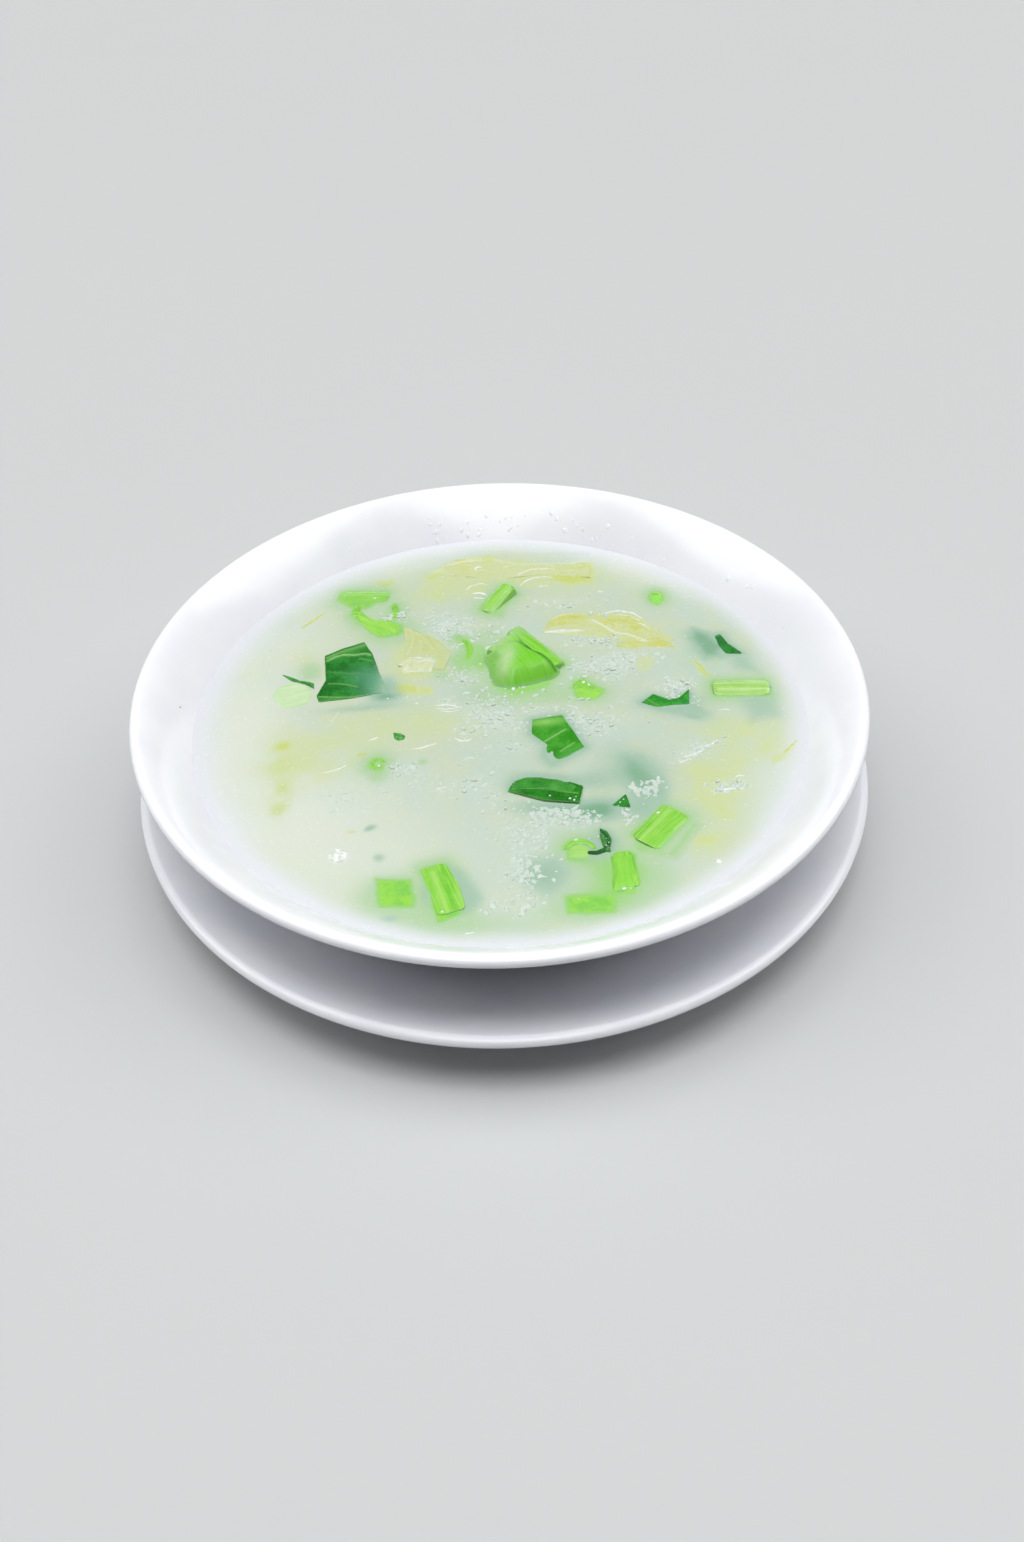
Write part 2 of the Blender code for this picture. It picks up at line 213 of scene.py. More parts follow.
class Shader:
    """A material's nodes, added one call at a time."""

    def __init__(self, name: str) -> None:
        """Start a material with a plain Principled surface."""
        self.material = bpy.data.materials.new(name)
        self.material.use_nodes = True
        self.tree = self.material.node_tree
        self.surface = self.tree.nodes["Principled BSDF"]

    def node(self, kind: str, **settings: object) -> bpy.types.Node:
        """Add a node of this kind and set its properties."""
        made = self.tree.nodes.new(kind)
        for key, value in settings.items():
            setattr(made, key, value)
        return made

    def put(self, socket: bpy.types.NodeSocket, value: object) -> None:
        """Link a socket into another, or set it to a plain value."""
        if isinstance(value, bpy.types.NodeSocket):
            self.tree.links.new(value, socket)
        else:
            socket.default_value = value

    def attribute(self, name: str) -> bpy.types.NodeSocket:
        """Read a value stored on the mesh's points."""
        return self.node("ShaderNodeAttribute", attribute_name=name).outputs["Fac"]

    def noise(self, size: float, detail: float = 4.0, roughness: float = 0.55) -> bpy.types.NodeSocket:
        """Add noise in the frame's own space.

        Args:
            size: The size of its bumps.
            detail: How many finer layers it has.
            roughness: How strong those are.

        Returns:
            The noise from 0 to 1.
        """
        made = self.node("ShaderNodeTexNoise")
        made.inputs["Scale"].default_value = 1 / (size * MM)
        made.inputs["Detail"].default_value = detail
        made.inputs["Roughness"].default_value = roughness
        self.tree.links.new(self.position(), made.inputs["Vector"])
        return made.outputs["Fac"]

    def position(self) -> bpy.types.NodeSocket:
        """The point's place in the frame."""
        return self.node("ShaderNodeNewGeometry").outputs["Position"]

    def remap(
        self, value: object, low: float, high: float, to_low: float = 0.0, to_high: float = 1.0
    ) -> bpy.types.NodeSocket:
        """Map a range onto another, without passing its ends.

        Args:
            value: The socket to map.
            low: Start of its range.
            high: End of its range.
            to_low: What the start becomes.
            to_high: What the end becomes.

        Returns:
            The mapped value.
        """
        made = self.node("ShaderNodeMapRange", interpolation_type="SMOOTHSTEP")
        for socket, given in zip(made.inputs, (value, low, high, to_low, to_high)):
            self.put(socket, given)
        return made.outputs["Result"]

    def math(self, operation: str, first: object, second: object = 0.0) -> bpy.types.NodeSocket:
        """Combine two values, and keep the result from 0 to 1."""
        made = self.node("ShaderNodeMath", operation=operation, use_clamp=True)
        self.put(made.inputs[0], first)
        self.put(made.inputs[1], second)
        return made.outputs[0]

    def ramp(self, factor: object, stops: Sequence[tuple[float, Colour]]) -> bpy.types.NodeSocket:
        """Pick a colour along a row of stops.

        Args:
            factor: The value from 0 to 1.
            stops: Each stop's place and colour.

        Returns:
            The colour.
        """
        made = self.node("ShaderNodeValToRGB")
        elements = made.color_ramp.elements
        while len(elements) < len(stops):
            elements.new(0.5)
        for element, (place, colour) in zip(elements, stops):
            element.position = place
            element.color = colour
        self.put(made.inputs["Fac"], factor)
        return made.outputs["Color"]

    def mix(self, factor: object, first: object, second: object) -> bpy.types.NodeSocket:
        """Blend two colours.

        Args:
            factor: How much of the second there is.
            first: A colour or a socket.
            second: A colour or a socket.

        Returns:
            The blended colour.
        """
        made = self.node("ShaderNodeMix", data_type="RGBA")
        self.put(made.inputs["Factor"], factor)
        self.put(made.inputs[6], first)
        self.put(made.inputs[7], second)
        return made.outputs[2]

    def overlay(self, colour: object, **layers: object) -> bpy.types.NodeSocket:
        """Lay colours over another, each as strongly as the mesh's value of its name.

        Args:
            colour: The colour below.
            layers: The colours, named by the mesh's values.

        Returns:
            The colour that shows.
        """
        for name, over in layers.items():
            colour = self.mix(self.attribute(name), colour, over)
        return colour

    def bump(self, height: object, strength: float, depth: float) -> None:
        """Give the surface fine relief.

        Args:
            height: The relief's height from 0 to 1.
            strength: How much of it shows.
            depth: The height of 1, in millimetres.
        """
        made = self.node("ShaderNodeBump")
        made.inputs["Strength"].default_value = strength
        made.inputs["Distance"].default_value = depth * MM
        self.put(made.inputs["Height"], height)
        self.put(self.surface.inputs["Normal"], made.outputs["Normal"])

    def set(self, **inputs: object) -> None:
        """Set the surface's inputs, named with underscores for spaces."""
        for key, value in inputs.items():
            self.put(self.surface.inputs[key.replace("_", " ")], value)


# ------------------------------------------------------------------------ mesh helpers


def mesh_object(name: str, points: np.ndarray, faces: Iterable[Sequence[int]]) -> bpy.types.Object:
    """Make a smooth-shaded object from points in metres.

    Args:
        name: The piece's name.
        points: One row for each point.
        faces: The corners of each face.

    Returns:
        The new object.
    """
    mesh = bpy.data.meshes.new(name)
    mesh.from_pydata(np.asarray(points).tolist(), [], faces)
    mesh.update()
    mesh.shade_smooth()
    piece = bpy.data.objects.new(name, mesh)
    bpy.context.scene.collection.objects.link(piece)
    return piece


def coordinates(mesh: bpy.types.Mesh) -> np.ndarray:
    """A mesh's points as rows of x, y and z, in metres."""
    flat = np.empty(len(mesh.vertices) * 3)
    mesh.vertices.foreach_get("co", flat)
    return flat.reshape(-1, 3)


def move_points(mesh: bpy.types.Mesh, points: np.ndarray) -> None:
    """Put a mesh's points at these places."""
    mesh.vertices.foreach_set("co", points.reshape(-1))
    mesh.update()


def store(mesh: bpy.types.Mesh, name: str, values: np.ndarray) -> None:
    """Store a value on each of a mesh's points, for its material to read."""
    layer = mesh.attributes.new(name, "FLOAT", "POINT")
    layer.data.foreach_set("value", np.ascontiguousarray(values, dtype=np.float32))


def store_all(mesh: bpy.types.Mesh, **values: np.ndarray) -> None:
    """Store several values on a mesh's points, each under its own name."""
    for name, value in values.items():
        store(mesh, name, value)


def apply_modifiers(piece: bpy.types.Object) -> None:
    """Replace an object's mesh with what its modifiers make of it."""
    depsgraph = bpy.context.evaluated_depsgraph_get()
    mesh = bpy.data.meshes.new_from_object(piece.evaluated_get(depsgraph))
    piece.modifiers.clear()
    piece.data = mesh
    mesh.shade_smooth()


def finish_piece(
    piece: bpy.types.Object, material: bpy.types.Material, slot: str, *nodes: str
) -> bpy.types.Object:
    """Dress a piece, put it on the body and report it.

    Args:
        piece: The object.
        material: Its finish.
        slot: The record's slot that the finish stands for; not used.
        nodes: The frame's nodes that it replaces.

    Returns:
        The same object.
    """
    piece.data.materials.clear()
    piece.data.materials.append(material)
    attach(piece, BODY)
    if nodes:
        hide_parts(*nodes)
    LOG.info("%s: %d faces", piece.name, len(piece.data.polygons))
    return piece


# ------------------------------------------------------------------------ measures


@dataclass(frozen=True)
class Measures:
    """What the frame says about where the dishes and the congee are, in millimetres."""

    centre_x: float
    centre_y: float
    bowl_stand: float
    level: float

    @classmethod
    def from_frame(cls, edge_climb: float = 0.67) -> "Measures":
        """Read the frame.

        Args:
            edge_climb: How far the congee's edge stands above its surface.

        Returns:
            The measures.
        """
        low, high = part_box("bowl")
        return cls(
            centre_x=(low.x + high.x) / 2 / MM,
            centre_y=(low.y + high.y) / 2 / MM,
            bowl_stand=low.z / MM,
            level=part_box("congee")[1].z / MM - edge_climb,
        )

    def place(self, x: float, y: float, above: float = 0.0) -> Vector:
        """A point in the congee, in metres."""
        return Vector((self.centre_x + x, self.centre_y + y, self.level + above)) * MM


# ------------------------------------------------------------------------ the two dishes


@dataclass(frozen=True)
class GlazeFinish:
    """White glazed china: even white, with a faint mottle and a slightly wavy glaze."""

    name: str
    light: Colour = srgb(238, 239, 243)
    shade: Colour = srgb(234, 235, 241)
    roughness: float = 0.2
    waviness: float = 0.05

    def material(self) -> bpy.types.Material:
        """Build the material."""
        shader = Shader(self.name)
        mottle = shader.noise(22.0, detail=3.0)
        colour = shader.mix(shader.remap(mottle, 0.35, 0.65), self.shade, self.light)
        gloss = shader.remap(shader.noise(6.0), 0.3, 0.7, self.roughness * 0.8, self.roughness * 1.3)
        shader.set(Base_Color=colour, Roughness=gloss, IOR=1.5, Coat_Weight=0.3, Coat_Roughness=0.12)
        shader.bump(shader.noise(9.0, detail=2.0), self.waviness, 0.3)
        return shader.material


@dataclass(frozen=True)
class TurnedDish:
    """A turned dish: a level middle, a wall that turns up, a round lip and a foot ring."""

    node: str
    slot: str
    reach: float
    level_middle: float
    turn_over: float
    floor: float
    rise: float
    wall: float
    foot_outer: float
    foot_inner: float
    foot_round: float = 0.9
    base_extra: float = 0.6
    sides: int = 224
    wall_steps: int = 56
    lip_steps: int = 20
    round_steps: int = 5

    def bend(self, radius: float) -> float:
        """How far along its bend the wall is at this radius, in radians."""
        return math.pi * max(0.0, radius - self.level_middle) / self.turn_over

    def height(self, radius: float) -> float:
        """Height of the inner surface above what the dish stands on."""
        share = (1 - math.cos(self.bend(radius))) / (1 - math.cos(self.bend(self.reach)))
        return self.floor + self.rise * share

    def slope(self, radius: float) -> float:
        """Rise over run of the inner surface."""
        steepest = self.rise * math.pi / self.turn_over / (1 - math.cos(self.bend(self.reach)))
        return steepest * math.sin(self.bend(radius))

    def offset(self, radius: float, distance: float) -> Point:
        """The point at this distance under the inner surface, square to it."""
        length = math.hypot(1.0, self.slope(radius))
        return (
            radius + distance * self.slope(radius) / length,
            self.height(radius) - distance / length,
        )

    def radius_at(self, height: float) -> float:
        """Radius where the inner surface reaches this height above the stand."""
        share = (height - self.floor) / self.rise
        bend = math.acos(1 - share * (1 - math.cos(self.bend(self.reach))))
        return self.level_middle + self.turn_over * bend / math.pi

    def arc(self, middle: Point, radius: float, start: float, end: float, steps: int) -> list[Point]:
        """Points round part of a circle."""
        angles = np.linspace(start, end, steps)
        return [(middle[0] + radius * math.cos(a), middle[1] + radius * math.sin(a)) for a in angles]

    def profile(self) -> list[Point]:
        """The whole profile, from the axis over the lip and the foot back to the axis."""
        radii = np.linspace(self.level_middle * 0.75, self.reach, self.wall_steps)
        points = [(0.0, self.height(0.0))] + [(r, self.height(r)) for r in radii]
        lean = math.atan(self.slope(self.reach)) + math.pi / 2
        middle = self.offset(self.reach, self.wall / 2)
        points += self.arc(middle, self.wall / 2, lean, lean - math.pi, self.lip_steps)[1:]
        points += [self.offset(r, self.wall) for r in radii[::-1] if r > self.foot_outer][1:]
        points.append((self.foot_outer, self.offset(self.foot_outer, self.wall)[1] - 0.3))
        edge = self.foot_round
        points += self.arc((self.foot_outer - edge, edge), edge, 0, -math.pi / 2, self.round_steps)
        points += self.arc((self.foot_inner + edge, edge), edge, -math.pi / 2, -math.pi, self.round_steps)
        under = self.wall + self.base_extra
        points.append((self.foot_inner - edge, self.height(self.foot_inner) - under))
        points += [(0.0, self.height(0.0) - under)]
        return points

    def build(self, material: bpy.types.Material) -> bpy.types.Object:
        """Turn the dish, and put it where the frame's node is.

        Args:
            material: Its glaze.

        Returns:
            The finished piece.
        """
        low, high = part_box(self.node)
        profile = self.profile()
        angles = np.linspace(0, 2 * math.pi, self.sides, endpoint=False)
        rings = [
            np.stack([r * np.cos(angles), r * np.sin(angles), np.full_like(angles, z)], axis=1)
            for r, z in profile[1:-1]
        ]
        ends = np.array([[0, 0, profile[0][1]], [0, 0, profile[-1][1]]])
        points = np.concatenate(rings + [ends]) * MM
        points += [(low.x + high.x) / 2, (low.y + high.y) / 2, low.z]
        count = self.sides
        first, last = len(rings) * count, len(rings) * count + 1
        faces = []
        for side in range(count):
            beside = (side + 1) % count
            faces.append((first, side, beside))
            faces.append((last, (len(rings) - 1) * count + beside, (len(rings) - 1) * count + side))
            for ring in range(len(rings) - 1):
                here = ring * count
                faces.append((here + side, here + count + side, here + count + beside, here + beside))
        piece = mesh_object(self.node + "_glazed", points, faces)
        return finish_piece(piece, material, self.slot, self.node)


BOWL = TurnedDish(
    node="bowl", slot="bowl_china", reach=112.1, level_middle=72.4, turn_over=47.6, floor=7.9,
    rise=37.5, wall=4.0, foot_outer=55.0, foot_inner=50.0,
)
PLATE = TurnedDish(
    node="under_plate", slot="plate_china", reach=115.65, level_middle=62.0, turn_over=400.0,
    floor=5.5, rise=15.5, wall=3.8, foot_outer=74.0, foot_inner=68.0,
)


# ------------------------------------------------------------------------ the congee


@dataclass(frozen=True)
class Spot:
    """A soft oval patch of the congee's surface.

    Its place and half sizes are in millimetres, its turn in degrees from the x axis.
    """

    x: float
    y: float
    half_length: float
    half_width: float
    turn: float = 0.0
    strength: float = 1.0

    def values(self, x: np.ndarray, y: np.ndarray) -> np.ndarray:
        """How strong the patch is at these points.

        Args:
            x: Places across.
            y: Places along.

        Returns:
            The strength at each.
        """
        angle = math.radians(self.turn)
        along = (x - self.x) * math.cos(angle) + (y - self.y) * math.sin(angle)
        across = (y - self.y) * math.cos(angle) - (x - self.x) * math.sin(angle)
        return self.strength * np.exp(-((along / self.half_length) ** 2) - (across / self.half_width) ** 2)


@dataclass(frozen=True)
class Shape:
    """A soft-edged patch of the congee's surface with an outline of its own, in millimetres."""

    outline: tuple[Point, ...]
    soft: float = 1.1
    strength: float = 1.0

    def values(self, x: np.ndarray, y: np.ndarray) -> np.ndarray:
        """How strong the patch is at these points.

        Args:
            x: Places across.
            y: Places along.

        Returns:
            The strength at each.
        """
        loop = self.outline + self.outline[:1]
        nearest = path_distance(loop, x, y)
        inside = np.zeros(x.shape, dtype=bool)
        for (ax, ay), (bx, by) in zip(loop, loop[1:]):
            rise = by - ay if abs(by - ay) > 1e-9 else 1e-9
            inside ^= ((ay > y) != (by > y)) & (x < ax + (y - ay) * (bx - ax) / rise)
        distance = np.where(inside, nearest, -nearest)
        return self.strength * smoothstep(-self.soft, self.soft, distance)


def combined(patches: Sequence[Spot | Shape], x: np.ndarray, y: np.ndarray) -> np.ndarray:
    """The strength of several patches together, at most 1.

    Args:
        patches: The patches.
        x: Places across.
        y: Places along.

    Returns:
        The strength at each place.
    """
    clear = np.ones_like(x, dtype=float)
    for patch in patches:
        clear *= 1 - np.clip(patch.values(x, y), 0, 1)
    return 1 - clear


class Tint(Enum):
    """What shows through the congee's surface, with one painted shadow among the leaf patches; the value
    names its mesh attribute.
    """

    RICE = "rice"
    MILK = "milk"
    YELLOW = "yellow"
    STEM = "stem"
    LEAF = "leaf"


TINTS: dict[Tint, tuple[Spot | Shape, ...]] = {
    Tint.RICE: (
        Spot(2, -2, 13, 15, 70, 0.75), Spot(26, -6, 16, 9, 20, 0.6), Spot(34, 22, 16, 7, 15, 0.8),
        Spot(-16, 44, 14, 9, -30, 0.8), Spot(-4, 24, 9, 7, 0, 0.6), Spot(17, -48, 11, 5, -5, 0.95),
        Spot(5, -62, 7, 15, 10, 0.85), Spot(44, -38, 6, 5, 30, 0.9), Spot(58, 9, 7, 6, 20, 0.95),
        Spot(-31, -26, 5, 3.5, -30), Spot(-35, 52, 5, 3, 10), Spot(-10, -35, 14, 8, 0, 0.4),
        Spot(60, -21, 9, 3.5, 35, 0.7), Spot(69, -37, 7, 3, 5, 0.7), Spot(32, 36, 8, 3, 0, 0.9),
        Spot(-16, 6, 6, 4, 0, 0.6), Spot(-48, -36, 14, 10, 20, 0.3), Spot(24, 58, 14, 5, 0, 0.35),
        Spot(3, -84, 16, 5, 0, 0.4),
    ),
    Tint.MILK: (
        Spot(-62, -48, 30, 34, 30, 0.8), Spot(-82, -6, 16, 40, 0, 0.75), Spot(-30, -66, 26, 20, 0, 0.35),
        Spot(-70, 40, 20, 16, -40, 0.5), Spot(84, -34, 16, 26, -20, 0.45), Spot(34, -78, 34, 10, 10, 0.2),
        Spot(-34, 82, 14, 7, 20, 0.5), Spot(46, 80, 14, 8, -20, 0.6), Spot(60, 70, 12, 9, -40, 0.55),
        Spot(-56, 64, 10, 8, 40, 0.3),
    ),
    Tint.YELLOW: (
        Spot(6, 76, 34, 10, -4, 0.6), Spot(-22, 66, 16, 8, 10, 0.4), Spot(37, 45, 24, 10, -20, 0.4),
        Spot(-30, 28, 12, 16, 10, 0.4), Spot(-54, -18, 24, 16, 10, 0.4), Spot(-22, -4, 24, 9, -5, 0.4),
        Spot(-68, -28, 6, 20, 5, 0.35), Spot(76, -12, 17, 10, 10, 0.45), Spot(64, -42, 10, 16, 10, 0.45),
        Spot(58, -60, 10, 7, 0, 0.35), Spot(-62, 32, 10, 16, -20, 0.3),
        Shape(((57.4, -27.7), (69.3, -24), (84.7, -17), (86.1, -21.4), (73.3, -34.6), (69.2, -49.4),
               (62.1, -51), (58.7, -39.1)), 8, 0.45),
        Shape(((-34.7, 14.3), (-30.9, 15.4), (-25.9, 13.9), (-22, 12.5), (-22.5, 9.5), (-28.5, 9.8),
               (-32.9, 10.4)), 1.6, 0.9),
        Spot(-31.5, 12.4, 4.4, 2.4), Shape(((-23.2, 64.4), (-19.1, 64.7), (-19.6, 61.2)), 1.5, 0.8),
        Shape(((-45.5, 70.9), (-42.6, 73.4), (-37.8, 74.1), (-37.7, 70.6), (-41.3, 69.7)), 1.6, 0.8),
        Shape(((-21.3, 33.2), (-19, 30.4), (-18.3, 21.4), (-21.1, 22.4)), 1.8, 0.5),
        Shape(((-30.9, 47), (-28, 43.5), (-22, 40), (-17, 35), (-17, 20), (-33, 18), (-34, 32)), 2.2, 0.45),
        Shape(((45, 23.7), (49.3, 27), (53.3, 26.3), (50.9, 20), (47.1, 17.9)), 0.9, 0.4),
        Shape(((64.1, 25), (66.4, 22.6), (70.5, 14.6), (69.4, 11.8), (65.9, 18.2)), 0.9, 0.7),
        Shape(((83.8, -25.2), (88.2, -22.4), (93.8, -17.5), (92.6, -20.5), (87.6, -26.3), (84, -28.2)), 1,
              0.55),
        Spot(-69, -14.2, 2.6, 1.6, 20, 0.8), Spot(-67, -42, 2.8, 2, 30, 0.7),
        Spot(-66.8, -32.5, 1.2, 1.8, 0, 0.45), Spot(-43.2, -19.2, 2.6, 1, 20, 0.7),
        Spot(-44.5, -52.6, 1.4, 0.7, 0, 0.6), Spot(58.5, -59.6, 3.2, 1.9, 20, 0.6),
        Spot(66.2, -50.2, 1.8, 1, 0, 0.5),
        Shape(((21.2, 79.3), (34.8, 82.1), (34.4, 69.2), (25.4, 69), (19.4, 73.3)), 1.8, 0.6),
        Shape(((-26.2, 75.3), (-12.1, 87.1), (-0.9, 88), (-1, 84.4), (-12.9, 81.5), (-23.9, 74.2)), 1.6,
              0.65),
        Spot(5.4, 79.5, 5.5, 3.6, 0, 0.5), Spot(-5.8, 67.2, 6, 3.6, 10, 0.35),
    ),
    Tint.STEM: (
        Shape(((-36.1, -71.6), (-26, -72.1), (-25, -82.5), (-34.6, -82.3)), 1.5),
        Spot(-32, -77.5, 9.5, 7.5, 0, 0.55),
        Shape(((17.4, -80.2), (31.5, -80.2), (30.9, -86.4), (17.9, -86.8)), 1.5, 0.92),
        Spot(25, -83, 11.5, 6.5, 0, 0.55),
        Shape(((32, -64.3), (38.6, -64.5), (37.2, -79.3), (30.8, -79.3)), 0.9),
        Spot(35, -71.5, 7.5, 10.5, 0, 0.6),
        Shape(((-23.3, -69.4), (-17.2, -67.4), (-10.6, -84.9), (-17.9, -88.2)), 0.8, 0.95),
        Spot(-17, -79, 9, 12, 15, 0.6),
        Shape(((-46.1, 50.2), (-40.3, 49.6), (-34.2, 47.2), (-33, 44.6), (-34.5, 41.9), (-38.1, 41.2),
               (-41.5, 41.1), (-43.9, 43.1), (-46.8, 47.1)), 1.5, 0.97),
        Spot(-40, 44, 10, 8, -15, 0.5),
        Shape(((-56.7, 68.6), (-41.1, 66.4), (-39.5, 64), (-42.6, 60.6), (-46.6, 57.6), (-50.1, 57.6),
               (-53.6, 60.2), (-57.1, 63.2)), 1.5, 0.85),
        Spot(-50, 61, 11, 7, -5, 0.55),
        Shape(((-16.8, 27.5), (-12.8, 34.6), (-9.4, 32.7), (-8.3, 26.3), (-9.4, 21), (-13.3, 19.5)), 2,
              0.42),
        Shape(((-9, 36.3), (-2.7, 34.7), (-2.2, 24.3), (-6.1, 19.9), (-9.2, 23.5)), 2.4, 0.55),
        Shape(((-3.6, 24.9), (-2, 32), (6, 36), (20, 24), (20.5, 17.5), (15.3, 12.1), (5.3, 9.4),
               (-1.8, 13.5)), 2.4, 0.75),
        Spot(8, 18, 14, 11, 0, 0.6),
        Shape(((-5.5, 55.3), (0.4, 57.8), (3.4, 53.8), (1.5, 49.6), (-3, 49.8)), 2.2, 0.6),
        Shape(((24.2, 14.8), (27.4, 14.9), (35.3, 9.9), (33, 6.3), (29, 4.6), (24.9, 6.5)), 1.5, 0.9),
        Spot(29.5, 7.5, 7.5, 5.5, -10, 0.55),
        Shape(((18.6, -60.6), (24.2, -59.2), (26.6, -63.8), (25.7, -67), (18.3, -66.8)), 1.6, 0.72),
        Spot(22.5, -65.5, 6.5, 5, 0, 0.5), Spot(-38, -27.5, 4, 5, 0, 0.5),
        Spot(-37.8, -24.9, 2.4, 1.9, 0, 0.7), Spot(-24.2, -22.9, 1.7, 1.4, 0, 0.55),
        Spot(-31.4, -86.6, 2.6, 1.4, 0, 0.35),
        Shape(((37, -56.5), (48, -63.7), (57.1, -49.8), (59.2, -53.8), (50.2, -66.6), (39.1, -63.5)), 2.2,
              0.6),
        Shape(((69.5, 13.2), (90.5, 13.2), (90, 2), (70, 2)), 2.4, 0.5), Spot(-63, 23, 4.2, 5, 0, 0.5),
        Spot(56.2, 59.8, 3.6, 3.6), Spot(56.6, 57.4, 6, 5, 0, 0.3), Spot(-19, 19, 3.5, 2.6, -30, 0.42),
        Spot(26, -84, 40, 5, 12, 0.18), Spot(29, -73, 8, 11, 0, 0.5), Spot(43, -72, 8, 8, 0, 0.35),
        Spot(28, -60, 6, 6, 0, 0.6), Spot(2, 9, 12, 6, 0, 0.42), Spot(16, 8, 9, 5, 0, 0.3),
        Spot(-3, 40, 7, 6, 0, 0.4), Spot(-12, 27, 9, 8, 0, 0.3), Spot(-34, 46, 9, 7, -20, 0.35),
        Spot(-20, -88, 22, 5, -8, 0.28), Spot(70, 24, 12, 10, 0, 0.2),
    ),
    Tint.LEAF: (
        Shape(((67, 41.5), (72.6, 38.5), (76.4, 30.7), (74.7, 25), (68.9, 24.4), (64.7, 35.9)), 3.6, 0.7),
        Shape(((76, 28.8), (84.5, 25.8), (86.5, 16.2), (78.3, 18.1)), 4, 0.35),
        Shape(((86.6, 11.2), (89.4, 8.4), (88.1, 7)), 0.8, 0.8),
        Shape(((77.5, 5.1), (89.5, 4.7), (90.8, -5.9), (80.2, -8.6)), 5, 0.34),
        Shape(((38, -23), (42.8, -24.1), (50.2, -38.8), (48.7, -42.7), (41, -38.5), (37, -30.2)), 4.2,
              0.42),
        Shape(((28.2, -43.4), (33.4, -43.1), (31.7, -48), (25.2, -47.8)), 3.6, 0.25),
        Shape(((6.9, -65.4), (15.8, -65.2), (19.2, -71.6), (12.8, -77.7), (6.7, -74.9)), 5, 0.28),
        Spot(40, -25, 13, 9, -30, 0.25), Spot(14, -31.5, 12, 2.4, -10, 0.45),
        Spot(16, -45.5, 13, 3.6, -8, 0.55), Spot(29, -46, 7.5, 5, 0, 0.7), Spot(42, -45, 6, 6, 30, 0.45),
        Spot(29, -33, 8, 5, 0, 0.3), Spot(44, -33, 8, 7, -40, 0.35), Spot(27.5, -60.5, 4.5, 4.5, 0, 0.45),
        Spot(13, -73, 7, 8, 0, 0.3),
        # A dark teal band along the ridged stem's right side: a painted shadow of the stem.
        Shape(((-16, -67), (-10.8, -69.4), (-5.2, -80.4), (-8.9, -84.9), (-11.6, -85.1)), 2.8, 0.36),
        Spot(-22, -79, 1.7, 5.5, 12, 0.3), Spot(-38.8, -51.4, 2.1, 1.1, 35, 0.5),
        Spot(-35.6, -63.6, 2, 1.9, 0, 0.35), Spot(-31.6, -86.6, 2.4, 1.2, 0, 0.55),
        Spot(-38.5, 13.5, 5.5, 6, 0, 0.6), Spot(-45, 3.5, 15, 2.2, 5, 0.3), Spot(-37, 8.8, 4.5, 2, 10, 0.6),
        Spot(59, 2.5, 9, 5.5, 0, 0.4), Spot(62, -4.6, 4.5, 1.8, -25, 0.45), Spot(-8, 10, 10, 6, 0, 0.15),
    ),
}


JUST_SUNK = (
    Shape(((-23.9, -67.4), (-16, -65.9), (-9.6, -85.4), (-18.5, -88.7)), 1),
    Shape(((31, -63.3), (39.6, -63.5), (38.2, -79.3), (29.8, -79.3)), 1),
    Shape(((-34.5, 47), (-28, 45), (-15.5, 36), (-16, 21), (-35, 21)), 1, 0.8),
    Shape(((-24.5, 80), (-12, 88), (33.5, 88), (33.5, 72), (-3, 72)), 1.2, 0.7),
)


